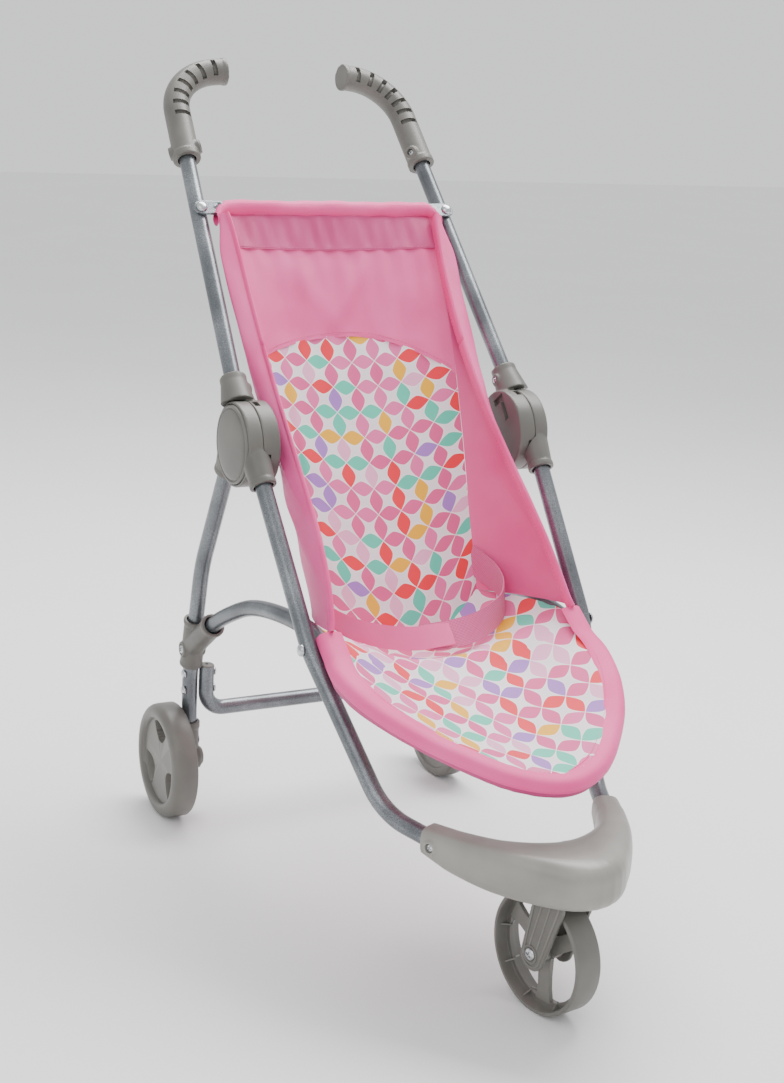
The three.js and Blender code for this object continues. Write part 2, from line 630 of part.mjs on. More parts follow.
const { bar, tabs } = topCrossbar();
const topHoles = sides.map(([, s]) => rod(
  barAt(s).addScaledVector(barOut, BAR_OFF - 4), barAt(s).addScaledVector(barOut, BAR_OFF + 4), 2, 8,
));
add('top_crossbar', geometryOf(cut(join([bar, ...tabs]), topHoles)), paint);

const noseHoles = sides.map(([, s]) => rod(
  noseScrewAt(s), noseScrewAt(s).addScaledVector(noseScrewAxis(s), 30), 1.9, 8,
));
const noseSeats = sides.map(([, s]) => rod(
  noseScrewAt(s).addScaledVector(noseScrewAxis(s), 9.8),
  noseScrewAt(s).addScaledVector(noseScrewAxis(s), 30),
  5, 12,
));
add('nose_housing', geometryOf(cut(nose(), [...noseHoles, ...noseSeats])), plastic);

const caster = new THREE.Group();
caster.position.set(0, PIVOT_Y, 0);
caster.rotation.z = CASTER_YAW;
layout.add(caster);
add('front_fork', fork(), plastic, caster);
add('swivel_pin', rod(at(0, 0, NOSE_LOW - 4.3), at(0, 0, NOSE_TOP - 10), PIN_R, 12), steel, caster);
const frontSeats = [at(-16.1, TRAIL, FRONT_WHEEL_R), at(16.1, TRAIL, FRONT_WHEEL_R)];
add('front_axle', rivet(...frontSeats, 5, 2.4, 3), steel, caster);
const front = add('front_wheel', frontWheel(), plastic, caster);
front.position.set(0, TRAIL, FRONT_WHEEL_R);

add('back_panel', backPanel(), print);
add('top_hem', hem(), pink);
add('seat_panel', seatPanel(), print);
add('belt_strap_left', strap(72, -0.3, Math.PI / 2), pink);
add('belt_strap_right', strap(75, -Math.PI / 2, 0.3), pink);

export default stroller;
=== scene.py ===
# %% [markdown]
# # A doll stroller in Blender
#
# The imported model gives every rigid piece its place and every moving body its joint. This script
# puts the finished surfaces on it: bent steel tubes, moulded plastic and a sewn sling seat.
# Lengths are written in millimetres, measured from the middle of the rear axle line and from
# the floor, because that is how the frame was laid out. One helper turns them into metres.

# %% Load the fixed frame
import math
import bpy
import bmesh
from mathutils import Matrix, Vector, noise


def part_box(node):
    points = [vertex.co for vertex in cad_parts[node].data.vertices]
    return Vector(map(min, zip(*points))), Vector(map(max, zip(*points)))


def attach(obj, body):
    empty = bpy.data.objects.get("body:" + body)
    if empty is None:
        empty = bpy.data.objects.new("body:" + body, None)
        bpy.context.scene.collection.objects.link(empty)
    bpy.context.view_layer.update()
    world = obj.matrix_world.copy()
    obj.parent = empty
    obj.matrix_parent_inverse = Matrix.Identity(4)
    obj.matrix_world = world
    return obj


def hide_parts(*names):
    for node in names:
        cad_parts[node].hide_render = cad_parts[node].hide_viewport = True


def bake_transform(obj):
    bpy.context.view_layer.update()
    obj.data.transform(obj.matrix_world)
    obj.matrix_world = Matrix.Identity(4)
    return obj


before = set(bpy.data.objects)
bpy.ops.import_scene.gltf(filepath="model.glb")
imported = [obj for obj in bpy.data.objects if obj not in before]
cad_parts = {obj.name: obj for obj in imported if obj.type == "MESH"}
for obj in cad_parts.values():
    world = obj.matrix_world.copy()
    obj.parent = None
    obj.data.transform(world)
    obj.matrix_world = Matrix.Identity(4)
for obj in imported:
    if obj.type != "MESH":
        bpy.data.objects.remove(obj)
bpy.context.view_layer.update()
axle_low, axle_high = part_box("rear_axle_left")
AXLE_Y = (axle_low[1] + axle_high[1]) / 2
SIDES = (("left", 1), ("right", -1))


MM = 1 / 1000
X, Y, Z = (Vector(axis) for axis in ((1, 0, 0), (0, 1, 0), (0, 0, 1)))


def mm(x, y, z):
    return Vector((x * MM, AXLE_Y + y * MM, z * MM))


def basis(first, second, third):
    """A turn whose columns are the three directions."""
    return Matrix((first, second, third)).transposed().to_4x4()


# %% [markdown]
# ## Camera
#
# The camera comes first, because every later choice is judged through it. Its place and tilt are
# given as three angles: round the object, above the floor, and a slight roll of the hand.

# %% Camera
AZIMUTH, ELEVATION, ROLL = (math.radians(a) for a in (-27.95, 15.23, 3.17))
SENSOR, LENS = 36.0, 59.20754
STAND = mm(-683.46, -1433.44, 684.5)

back = Vector((
    math.sin(AZIMUTH) * math.cos(ELEVATION), -math.cos(AZIMUTH) * math.cos(ELEVATION), math.sin(ELEVATION)))
level = Vector((0, 0, 1)).cross(back).normalized()
upright = back.cross(level)
right = level * math.cos(ROLL) + upright * math.sin(ROLL)
up = upright * math.cos(ROLL) - level * math.sin(ROLL)

camera = bpy.data.objects.new("camera", bpy.data.cameras.new("camera"))
camera.data.sensor_width = SENSOR
camera.data.lens = LENS
camera.matrix_world = Matrix.Translation(STAND) @ basis(right, up, back)
bpy.context.scene.collection.objects.link(camera)
bpy.context.scene.camera = camera
print("lens", round(camera.data.lens, 2), "mm")

# %% [markdown]
# ## Materials
#
# A material starts from what the real thing is made of. Colours are sRGB hex values, as a colour
# chart gives them, and one function turns them to the linear numbers that the shader needs.
# Pattern sizes are in millimetres: a Noise node of scale 1 / size has bumps of about that size.

# %% Colour and node helpers
def colour(code):
    values = [int(code[i:i + 2], 16) / 255 for i in (1, 3, 5)]
    return [v / 12.92 if v <= 0.04045 else ((v + 0.055) / 1.055) ** 2.4 for v in values] + [1.0]


def node(tree, kind, links=None, **settings):
    """A node with its settings, its links and its fixed values."""
    made = tree.nodes.new(kind)
    for key, value in settings.items():
        setattr(made, key, value)
    for socket, source in (links or {}).items():
        if isinstance(source, bpy.types.NodeSocket):
            tree.links.new(source, made.inputs[socket])
        else:
            made.inputs[socket].default_value = source
    return made


def per_mm(size):
    return 1000 / size


def ramp(tree, factor, stops, steps=False):
    made = node(tree, "ShaderNodeValToRGB", {"Fac": factor})
    made.color_ramp.interpolation = "CONSTANT" if steps else "LINEAR"
    elements = made.color_ramp.elements
    elements.remove(elements[1])
    elements[0].position, elements[0].color = stops[0][0], colour(stops[0][1])
    for place_at, code in stops[1:]:
        elements.new(place_at).color = colour(code)
    return made.outputs["Color"]


def blank(name, **fixed):
    """A material with one Principled shader, whose constant values sit on its own sockets."""
    material = bpy.data.materials.new(name)
    material.use_nodes = True
    shader = material.node_tree.nodes["Principled BSDF"]
    for socket, value in fixed.items():
        shader.inputs[socket.replace("_", " ")].default_value = value
    return material, material.node_tree, shader


def noise_of(tree, vector, size, detail=2.0):
    made = node(tree, "ShaderNodeTexNoise", {"Vector": vector, "Scale": per_mm(size), "Detail": detail})
    return made.outputs["Fac"]


def mix_colours(tree, share, first, second):
    """Colours by share; the Mix node keeps its colour sockets at 6 and 7."""
    return node(tree, "ShaderNodeMix", {0: share, 6: first, 7: second}, data_type="RGBA").outputs[2]


def bump(tree, shader, height, depth, strength=1.0, under=None):
    links = {"Height": height, "Distance": depth * MM, "Strength": strength}
    if under:
        links["Normal"] = under
    made = node(tree, "ShaderNodeBump", links)
    tree.links.new(made.outputs["Normal"], shader.inputs["Normal"])
    return made.outputs["Normal"]


def spread(tree, value, low, high):
    made = node(tree, "ShaderNodeMapRange", {"Value": value, "To Min": low, "To Max": high})
    return made.outputs["Result"]


# %% [markdown]
# ### Powder-coated steel tube
#
# The tube is mild steel with a silver-grey metallic powder coat. Tiny aluminium flakes make it
# glitter a little and keep the highlight wide, and the coat has a faint orange peel. Flakes are
# about 0.1 mm; they are drawn at 0.7 mm so that they still show at this distance.

# %% Powder-coated steel
def powder_coat():
    material, tree, shader = blank("powder_coated_steel", Metallic=0.72)
    place = node(tree, "ShaderNodeTexCoord").outputs["Object"]
    flakes = noise_of(tree, place, 0.7, 1.0)
    cloudy = noise_of(tree, place, 45)
    mix = node(tree, "ShaderNodeMath", {0: flakes, 1: cloudy}, operation="MULTIPLY").outputs[0]
    shade = ramp(tree, mix, ((0.12, "#55595c"), (0.3, "#777b7f"), (0.45, "#9a9ea2")))
    tree.links.new(shade, shader.inputs["Base Color"])
    tree.links.new(spread(tree, cloudy, 0.24, 0.36), shader.inputs["Roughness"])
    bump(tree, shader, noise_of(tree, place, 1.6), 0.012)
    return material


# %% [markdown]
# ### Moulded ABS
#
# Hubs, grips, wheels, brackets and the nose are ABS, coloured warm grey all through, moulded in a
# spark-eroded tool that leaves a fine satin grain. The outer edges are painted a little lighter,
# partly as handling wear and partly as a painted highlight, and the pointiness of the surface
# picks them out. The grain is drawn at 0.6 mm.

# %% Moulded ABS
def moulded_abs(name="moulded_abs", dark="#585651", light="#696761", rough=(0.36, 0.5)):
    material, tree, shader = blank(name, IOR=1.53, Specular_IOR_Level=0.5)
    place = node(tree, "ShaderNodeTexCoord").outputs["Object"]
    flow = noise_of(tree, place, 38)
    grain = noise_of(tree, place, 0.6, 1.0)
    body = ramp(tree, flow, ((0.3, dark), (0.7, light)))
    # lighter convex edges: partly handling wear, partly a painted highlight
    edge = node(tree, "ShaderNodeNewGeometry").outputs["Pointiness"]
    edge_wear_and_highlight = node(tree, "ShaderNodeMapRange", {
        "Value": edge, "From Min": 0.53, "From Max": 0.62, "To Min": 0.0, "To Max": 0.35})
    shade = mix_colours(tree, edge_wear_and_highlight.outputs["Result"], body, colour("#8f8d87"))
    tree.links.new(shade, shader.inputs["Base Color"])
    tree.links.new(spread(tree, flow, *rough), shader.inputs["Roughness"])
    bump(tree, shader, grain, 0.03)
    return material


# %% [markdown]
# ### Zinc-plated steel
#
# Rivets and screws are steel with bright zinc: a clean metal with soft spots where the plating is
# thicker.

# %% Zinc plate
def zinc_plate():
    material, tree, shader = blank("zinc_plated_steel", Metallic=1.0)
    place = node(tree, "ShaderNodeTexCoord").outputs["Object"]
    spots = noise_of(tree, place, 2.5, 3.0)
    tree.links.new(ramp(tree, spots, ((0.3, "#a9acb0"), (0.7, "#d6d8da"))), shader.inputs["Base Color"])
    tree.links.new(spread(tree, spots, 0.16, 0.34), shader.inputs["Roughness"])
    return material


# %% [markdown]
# ### Nylon taffeta, printed polyester and webbing
#
# The sling is nylon taffeta: a tight plain weave with a satin sheen. Its thread is 0.2 mm; the
# weave is drawn at 0.9 mm. Every cloth piece has a UV map in metres on its flat cut, so weave and
# print follow the cloth round its folds.
#
# The print is a lattice of leaves. The lattice is square, 22 mm from knot to knot, and each of
# its edges carries one leaf whose pointed tips meet three others at the knots. Between four
# leaves a pale star is left. A point belongs to the nearest lattice edge, so its distance along
# the edge and off it say whether it is on the leaf. A white-noise value of the edge's number
# picks the leaf's colour.

# %% Weave and nylon
def cloth_uv(tree, size):
    uv = node(tree, "ShaderNodeUVMap", uv_map="cloth").outputs["UV"]
    scaled = node(tree, "ShaderNodeVectorMath", {0: uv, 3: per_mm(size)}, operation="SCALE")
    return node(tree, "ShaderNodeSeparateXYZ", {0: scaled.outputs[0]}).outputs


def maths(tree, kind, first, second=0.0, third=0.0):
    return node(tree, "ShaderNodeMath", {0: first, 1: second, 2: third}, operation=kind).outputs[0]


def weave(tree, size):
    """Height of a plain weave: warp and weft threads take turns on top."""
    across, along = cloth_uv(tree, size)[:2]
    warp = maths(tree, "SINE", maths(tree, "MULTIPLY", across, math.tau))
    weft = maths(tree, "SINE", maths(tree, "MULTIPLY", along, math.tau))
    return maths(tree, "MULTIPLY", warp, weft)


def taffeta(name, dark, light, thread=0.9, depth=0.05, rough=0.5):
    material, tree, shader = blank(name, Sheen_Weight=0.12, Sheen_Roughness=0.35, Roughness=rough)
    shader.inputs["Sheen Tint"].default_value = colour("#ffd3e6")
    place = node(tree, "ShaderNodeTexCoord").outputs["Object"]
    # painted sheen: broad lighter and darker patches stand in for the satin sheen
    painted_sheen_patches = noise_of(tree, place, 60)
    threads = weave(tree, thread)
    # painted shade of the weave: a little darker where the threads dip, lighter where they rise
    sheen_and_weave_shade = maths(tree, "MULTIPLY_ADD", threads, 0.06, painted_sheen_patches)
    tree.links.new(ramp(tree, sheen_and_weave_shade, ((0.3, dark), (0.7, light))), shader.inputs["Base Color"])
    crumple = bump(tree, shader, noise_of(tree, place, 14), 0.5, 0.35)
    bump(tree, shader, threads, depth, 1.0, crumple)
    return material


# %% Leaf print
LATTICE = 22.0  # knot to knot
LEAF_HALF = 0.31  # widest half width of a leaf, in lattice units
LEAF_ROUND = 1.6  # so that a tip opens at about a right angle
LEAF_COLOURS = (
    (0.0, "#df4f8c"), (0.26, "#e766a0"), (0.46, "#eda6c8"), (0.58, "#ea1730"),
    (0.69, "#4cc9ab"), (0.81, "#a36fc6"), (0.9, "#eeb000"))


def leaf_print():
    material, tree, shader = blank("printed_polyester", Roughness=0.62, Sheen_Weight=0.15)
    place = node(tree, "ShaderNodeTexCoord").outputs["Object"]
    across, along = cloth_uv(tree, LATTICE)[:2]
    column, row = (maths(tree, "ROUND", part) for part in (across, along))
    off_column = maths(tree, "ABSOLUTE", maths(tree, "SUBTRACT", across, column))
    off_row = maths(tree, "ABSOLUTE", maths(tree, "SUBTRACT", along, row))
    run = maths(tree, "MAXIMUM", off_column, off_row)
    off = maths(tree, "MINIMUM", off_column, off_row)
    middle = maths(tree, "MULTIPLY_ADD", run, -2.0, 1.0)
    half = maths(tree, "MULTIPLY_ADD", maths(tree, "POWER", middle, LEAF_ROUND), -LEAF_HALF, LEAF_HALF)
    inside = maths(tree, "SUBTRACT", half, off)
    on_leaf = node(tree, "ShaderNodeMapRange", {"Value": inside, "From Min": 0.012, "From Max": 0.022})
    on_line = node(tree, "ShaderNodeMapRange", {
        "Value": maths(tree, "ABSOLUTE", inside), "From Min": 0.008, "From Max": 0.02,
        "To Min": 1.0, "To Max": 0.0})
    flat_edge = maths(tree, "LESS_THAN", off_row, off_column)
    over = maths(tree, "FLOOR", across), maths(tree, "FLOOR", along)
    number = node(tree, "ShaderNodeCombineXYZ", {
        "X": node(tree, "ShaderNodeMix", {0: flat_edge, 2: column, 3: over[0]}).outputs[0],
        "Y": node(tree, "ShaderNodeMix", {0: flat_edge, 2: over[1], 3: row}).outputs[0],
        "Z": flat_edge})
    chance = node(tree, "ShaderNodeTexWhiteNoise", {"Vector": number.outputs[0]}).outputs["Value"]
    leaf = ramp(tree, chance, LEAF_COLOURS, steps=True)
    ground = ramp(tree, noise_of(tree, place, 50), ((0.3, "#ebe2e5"), (0.7, "#f4eef0")))
    dyed = mix_colours(tree, on_leaf.outputs[0], ground, leaf)
    lined = mix_colours(tree, on_line.outputs[0], dyed, colour("#fbf3f5"))
    tree.links.new(lined, shader.inputs["Base Color"])
    crumple = bump(tree, shader, noise_of(tree, place, 18), 0.5, 0.3)
    bump(tree, shader, weave(tree, 0.9), 0.04, 1.0, crumple)
    return material


# %% Webbing
def webbing():
    """Belt webbing: thick threads 1.3 mm apart, with painted shade in the small gaps between them and
    lighter crowns.
    """
    material, tree, shader = blank("pink_webbing", Roughness=0.75, Sheen_Weight=0.3)
    threads = weave(tree, 2.6)
    lift = maths(tree, "ABSOLUTE", threads)
    # painted shade: darkest in the gaps between threads, lightest on their crowns
    shade = ramp(tree, lift, ((0.0, "#b23a72"), (0.25, "#de5593"), (0.8, "#ef6ba6")))
    tree.links.new(shade, shader.inputs["Base Color"])
    bump(tree, shader, lift, 0.35)
    return material


def studio_paper():
    material, tree, shader = blank("studio_paper", Roughness=0.9)
    place = node(tree, "ShaderNodeTexCoord").outputs["Object"]
    shade = ramp(tree, noise_of(tree, place, 400), ((0.3, "#f2f2f1"), (0.7, "#f5f5f4")))
    tree.links.new(shade, shader.inputs["Base Color"])
    return material


STEEL_TUBE = powder_coat()
ABS = moulded_abs()
ZINC = zinc_plate()
PINK = taffeta("pink_taffeta", "#e84a90", "#f15f9f")
PINK_DEEP = taffeta("pink_taffeta_doubled", "#bd3272", "#cd4583")
BINDING = taffeta("pink_binding", "#ee3f8d", "#f8579e", thread=0.8, rough=0.55)
THREAD = taffeta("pink_thread", "#cf4384", "#dc5a94", thread=0.5)
PRINT = leaf_print()
WEBBING = webbing()
print("materials", len(bpy.data.materials))

# %% [markdown]
# ## Helpers for shapes
#
# A shape is built with bmesh operators in metres, in its final place, so the object itself stays
# at the origin. `place` names it, gives it its coat and lets it ride on a body.

# %% Place a mesh on a body
def place(name, mesh, coat, rides, slot, stands_for=(), sharp=35):
    """A finished piece. If a plain node has its name, it stands for that node."""
    if name in bpy.data.objects:
        stands_for = [name]
        name += "_detailed"
    mesh.name = name
    mesh.materials.clear()
    mesh.materials.append(coat)
    mesh.shade_smooth()
    if sharp:
        mesh.set_sharp_from_angle(angle=math.radians(sharp))
    piece = bpy.data.objects.new(name, mesh)
    bpy.context.scene.collection.objects.link(piece)
    if isinstance(rides, str):
        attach(piece, rides)
    if stands_for:
        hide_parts(*stands_for)
    return piece


def mesh_from(bm, name="shape", close=True):
    if close:
        bmesh.ops.remove_doubles(bm, verts=bm.verts, dist=2e-6)
        bmesh.ops.recalc_face_normals(bm, faces=bm.faces)
    mesh = bpy.data.meshes.new(name)
    bm.to_mesh(mesh)
    bm.free()
    return mesh


def with_modifiers(mesh, build):
    """The mesh after the modifiers that build() puts on a throwaway object."""
    helper = bpy.data.objects.new("helper", mesh)
    bpy.context.scene.collection.objects.link(helper)
    build(helper)
    made = bpy.data.meshes.new_from_object(
        helper.evaluated_get(bpy.context.evaluated_depsgraph_get()))
    bpy.data.objects.remove(helper)
    return made


# %% Rods, turned pieces, plates and bent tubes
def aim(a, b):
    return Matrix.Translation((a + b) / 2) @ (b - a).to_track_quat("Z", "Y").to_matrix().to_4x4()


def rod(bm, a, b, radius, end_radius=None, sides=32):
    end = radius if end_radius is None else end_radius
    bmesh.ops.create_cone(
        bm, cap_ends=True, segments=sides, radius1=radius * MM, radius2=end * MM,
        depth=(b - a).length, matrix=aim(a, b))


def turned(bm, profile, origin, axis, sides=64):
    """A profile of (distance along the axis, radius) spun about the axis."""
    axis = axis.normalized()
    out = axis.orthogonal().normalized()
    points = [bm.verts.new(origin + axis * x * MM + out * r * MM) for x, r in profile]
    edges = [bm.edges.new(pair) for pair in zip(points, points[1:])]
    bmesh.ops.spin(
        bm, geom=points + edges, cent=origin, axis=axis, dvec=(0, 0, 0), angle=math.tau,
        steps=sides, use_merge=True, use_duplicate=False)


def plate(bm, outline, thickness, matrix):
    """A flat outline of (x, y) in mm, thick along its own z, moved by the matrix."""
    face = bm.faces.new([bm.verts.new(Vector((x * MM, y * MM, 0))) for x, y in outline])
    extruded = bmesh.ops.extrude_face_region(bm, geom=[face])["geom"]
    top = [item for item in extruded if isinstance(item, bmesh.types.BMVert)]
    bmesh.ops.translate(bm, verts=top, vec=(0, 0, thickness * MM))
    bmesh.ops.transform(bm, matrix=matrix, verts=list(face.verts) + top)


def block(bm, corners):
    bmesh.ops.convex_hull(bm, input=[bm.verts.new(corner) for corner in corners])


def rounded(corners, radii, steps=10):
    """A path through corners, each inner corner bent to its radius."""
    path = [corners[0]]
    for before, corner, after, radius in zip(corners, corners[1:], corners[2:], radii):
        to_back, to_next = (before - corner).normalized(), (after - corner).normalized()
        half = to_back.angle(to_next) / 2
        centre = corner + (to_back + to_next).normalized() * radius * MM / math.sin(half)
        start = corner + to_back * radius * MM / math.tan(half) - centre
        end = corner + to_next * radius * MM / math.tan(half) - centre
        turn = start.rotation_difference(end)
        for step in range(steps + 1):
            part = Matrix.Rotation(turn.angle * step / steps, 3, turn.axis)
            path.append(centre + part @ start)
    return path + [corners[-1]]


def threaded(points, count):
    """Evenly spaced points on a centripetal Catmull-Rom curve through the given ones."""
    dense = []
    ends = [points[0] * 2 - points[1]] + list(points) + [points[-1] * 2 - points[-2]]
    for p0, p1, p2, p3 in zip(ends, ends[1:], ends[2:], ends[3:]):
        t1 = (p1 - p0).length ** 0.5
        t2 = t1 + (p2 - p1).length ** 0.5
        t3 = t2 + (p3 - p2).length ** 0.5
        for step in range(24):
            t = t1 + (t2 - t1) * step / 24
            a1 = p0.lerp(p1, t / t1)
            a2 = p1.lerp(p2, (t - t1) / (t2 - t1))
            a3 = p2.lerp(p3, (t - t2) / (t3 - t2))
            dense.append(a1.lerp(a2, t / t2).lerp(a2.lerp(a3, (t - t1) / (t3 - t1)), (t - t1) / (t2 - t1)))
    dense.append(points[-1])
    return evenly(dense, count)


def run_length(points):
    return sum((b - a).length for a, b in zip(points, points[1:]))


def evenly(path, count):
    lengths = [0.0]
    for a, b in zip(path, path[1:]):
        lengths.append(lengths[-1] + (b - a).length)
    spaced, k = [], 0
    for i in range(count):
        wanted = lengths[-1] * i / (count - 1)
        while k < len(lengths) - 2 and lengths[k + 1] < wanted:
            k += 1
        share = (wanted - lengths[k]) / max(lengths[k + 1] - lengths[k], 1e-9)
        spaced.append(path[k].lerp(path[k + 1], min(max(share, 0), 1)))
    return spaced


def tube(path, radius, sides=28):
    """A round tube along a path, as a mesh."""
    curve = bpy.data.curves.new("tube", "CURVE")
    curve.dimensions = "3D"
    curve.bevel_depth = radius * MM
    curve.bevel_resolution = (sides - 4) // 2
    curve.use_fill_caps = True
    spline = curve.splines.new("POLY")
    spline.points.add(len(path) - 1)
    for point, target in zip(path, spline.points):
        target.co = (*point, 1)
    helper = bpy.data.objects.new("helper", curve)
    bpy.context.scene.collection.objects.link(helper)
    mesh = bpy.data.meshes.new_from_object(
        helper.evaluated_get(bpy.context.evaluated_depsgraph_get()))
    bpy.data.objects.remove(helper)
    return mesh


def toward(a, b, distance):
    return a + (b - a).normalized() * distance * MM


# %% [markdown]
# Moulded plastic has no knife edges: where a socket meets a drum there is a soft fillet. The
# simplest way is to melt overlapping solids into one skin with a voxel remesh, smooth it a
# little, and then cut the crisp holes with a Boolean.

# %% Melt solids into one moulding, and cut holes in it
def melt(bm, voxel=0.8, rounds=4):
    def build(helper):
        skin = helper.modifiers.new("skin", "REMESH")
        skin.mode = "VOXEL"
        skin.voxel_size = voxel * MM
        soften = helper.modifiers.new("soften", "SMOOTH")
        soften.factor = 0.5
        soften.iterations = rounds
    return with_modifiers(mesh_from(bm), build)


def carve(mesh, cutter, keep=False):
    """mesh less cutter, or what the two share when keep is true."""
    tool = bpy.data.objects.new("tool", cutter)
    bpy.context.scene.collection.objects.link(tool)

    def build(helper):
        step = helper.modifiers.new("cut", "BOOLEAN")
        step.operation = "INTERSECT" if keep else "DIFFERENCE"
        step.solver = "EXACT"
        step.object = tool
    made = with_modifiers(mesh, build)
    bpy.data.objects.remove(tool)
    return made


def soften_edges(mesh, width=0.5, angle=40):
    def build(helper):
        step = helper.modifiers.new("edge", "BEVEL")
        step.width = width * MM
        step.segments = 2
        step.limit_method = "ANGLE"
        step.angle_limit = math.radians(angle)
    return with_modifiers(mesh, build)


# %% [markdown]
# ## The steel frame
#
# The frame tubes are one size of steel tube bent on a former: straight runs and round bends.
# Each is drawn as its corner points with a bend radius. The seat loop is bent freely, so it is a
# smooth curve through points instead.

# %% Where the tubes run
TUBE_R = 7.0


def upper_low(s):
    return mm(s * 128.9, -95, 421.5)


def upper_foot(s):
    return mm(s * 115.8, 56, 588.2)


def front_corners(s):
    heel, enter = mm(s * 95, -335, 132), mm(s * 77.8, -378, 127)
    top, knee = mm(s * 130, -166, 350), mm(s * 125.3, -255.4, 240.1)
    return [toward(top, knee, -10), knee, heel, enter, toward(enter, heel, -36)]


def rear_corners(s):
    return [mm(s * 129, -92.2, 351.5), mm(s * 126, -30, 244), mm(s * 123.6, -1, 133), mm(s * 122.5, 0, 63)]


LOOP_Y, LOOP_Z, SLOPE = -255, 240, math.radians(18.4)
LOOP_HALF = ((110.2, 0), (110.2, 16), (112.5, 42), (105, 76), (87, 113), (61, 148), (31, 177))
LOOP_TIP = 188


def loop_point(x, along):
    return mm(x, LOOP_Y - along * math.cos(SLOPE), LOOP_Z - along * math.sin(SLOPE))


def branch_root(s):
    return rear_corners(s)[2].lerp(rear_corners(s)[1], 0.28)


def branch_mouth(s):
    return mm(s * 121, -48, 194.5)


def seat_rail(s):
    start = [toward(branch_mouth(s), branch_root(s), back_by) for back_by in (24, 12, 0, -8)]
    rail = [mm(s * x, y, z) for x, y, z in (
        (119, -80, 214), (116, -118, 231), (113, -167, 241), (110.2, -222, 244))]
    return start + rail + [loop_point(s * x, along) for x, along in LOOP_HALF]


# %% Make the tubes
def steel(name, path, body, radius=TUBE_R):
    return place(name, tube(path, radius), STEEL_TUBE, body, "painted_tube", sharp=50)


for word, s in SIDES:
    steel(f"front_leg_{word}", rounded(front_corners(s), (110, 55, 300)), "frame")
    steel(f"rear_leg_{word}", rounded(rear_corners(s), (130, 130)), "frame")
    steel(f"upper_tube_{word}", [
        toward(upper_low(s), upper_foot(s), -10), toward(upper_foot(s), upper_low(s), -46)], "handle")

loop_path = threaded(seat_rail(1) + [loop_point(0, LOOP_TIP)] + seat_rail(-1)[::-1], 150)
steel("seat_tube", loop_path, "frame")
crossbar = [mm(s * 108.6, -4, z) for s, z in ((-1, 140.8), (-1, 99), (1, 99), (1, 140.8))]
steel("lower_crossbar", rounded(crossbar, (17, 17)), "frame")
print("seat tube", round(run_length(loop_path), 3), "m long")

# %% [markdown]
# The bar that carries the top of the sling is round, with its ends pressed flat and drilled for
# a screw. A cone joins the round part to the flat part, and the melt blends them.

# %% Top crossbar
def bar_at(s):
    return upper_low(s).lerp(upper_foot(s), 0.741)


tube_run = (upper_foot(1) - upper_low(1)).normalized()
BAR_OUT = Vector((0, -tube_run.z, tube_run.y)).normalized()
BAR_UP = Vector((1, 0, 0)).cross(BAR_OUT).normalized()
if BAR_UP.z < 0:
    BAR_UP.negate()
bar_middle = bar_at(1) * 1
bar_middle.x = 0
bar_middle += BAR_OUT * 8.8 * MM


def on_bar(x, out=0.0, rise=0.0):
    return bar_middle + Vector((x * MM, 0, 0)) + BAR_OUT * out * MM + BAR_UP * rise * MM


shape = bmesh.new()
rod(shape, on_bar(-103), on_bar(103), 5.2)
for s in (-1, 1):
    half_tab = [(98, -6.2), (112, -7), (119.2, -7), (124, -5)]
    tab = half_tab + [(126.2, 0)] + [(x, -y) for x, y in half_tab[::-1]]
    lie = basis(X * s, BAR_UP, BAR_OUT)
    plate(shape, tab, 2.6, Matrix.Translation(on_bar(0, -1.3)) @ lie)
    rod(shape, on_bar(s * 100), on_bar(s * 108), 5.2, 1.4)
place("top_crossbar", melt(shape, 0.6, 2), STEEL_TUBE, "handle", "painted_tube")

# %% [markdown]
# ## Rivets and screws
#
# A tubular rivet shows a low dome with a flat rim. A pan-head screw has the same dome with a cross
# recess. Both heads are turned about their own axis; the recess is cut by two small bars.

# %% Heads
def head(seat, out, radius, height, recess=False):
    shape = bmesh.new()
    profile = [(-0.4, 0), (-0.4, radius)] + [
        (height * math.sin(a), radius * math.cos(a) ** 0.8) for a in
        (math.radians(d) for d in (8, 22, 36, 50, 64, 78))] + [(height, 0)]
    turned(shape, profile, seat, out, 32)
    mesh = mesh_from(shape)
    if recess:
        side = out.orthogonal().normalized()
        for turn in (0, 90):
            cutter = bmesh.new()
            arm = Matrix.Rotation(math.radians(turn + 20), 3, out) @ side * radius * 0.55 * MM
            across = arm.cross(out).normalized() * radius * 0.13 * MM
            block(cutter, [seat + out * lift * MM + a * arm + c * across
                           for lift in (height - 1.1, height + 1)
                           for a, c in ((-1, -1), (1, -1), (1, 1), (-1, 1))])
            mesh = carve(mesh, mesh_from(cutter))
    return mesh


def joined(meshes):
    shape = bmesh.new()
    for mesh in meshes:
        shape.from_mesh(mesh)
    return mesh_from(shape, close=False)


def fixing(name, ends, radius, height, body, recess=False):
    heads = [head(seat, out.normalized(), radius, height, recess) for seat, out in ends]
    place(name, joined(heads), ZINC, body, "zinc_steel", sharp=45)


for word, s in SIDES:
    knee_x, loop_x = 125.3 + TUBE_R - 0.2, LOOP_HALF[0][0] - TUBE_R + 0.2
    fixing(f"leg_rivet_{word}", [
        (mm(s * knee_x, LOOP_Y, LOOP_Z), X * s), (mm(s * loop_x, LOOP_Y, LOOP_Z), -X * s)],
        5, 2.6, "frame")
    for place_word, z in (("upper", 135.4), ("lower", 119.4)):
        fixing(f"crossbar_rivet_{word}_{place_word}", [
            (mm(s * 130.4, -4, z), X * s), (mm(s * 101.8, -4, z), -X * s)], 4.2, 2.2, "frame")
    hole = rear_corners(s)[2].lerp(rear_corners(s)[1], 0.25)
    fixing(f"y_bracket_screw_{word}", [
        (hole + X * s * 10.0 * MM, X * s), (hole - X * s * 10.2 * MM, -X * s)],
        4.2, 2.2, "frame", recess=True)
    seat = bar_at(s) + BAR_OUT * (8.8 + 1.2) * MM
    fixing(f"crossbar_screw_{word}", [(seat, BAR_OUT)], 5, 3.4, "handle")

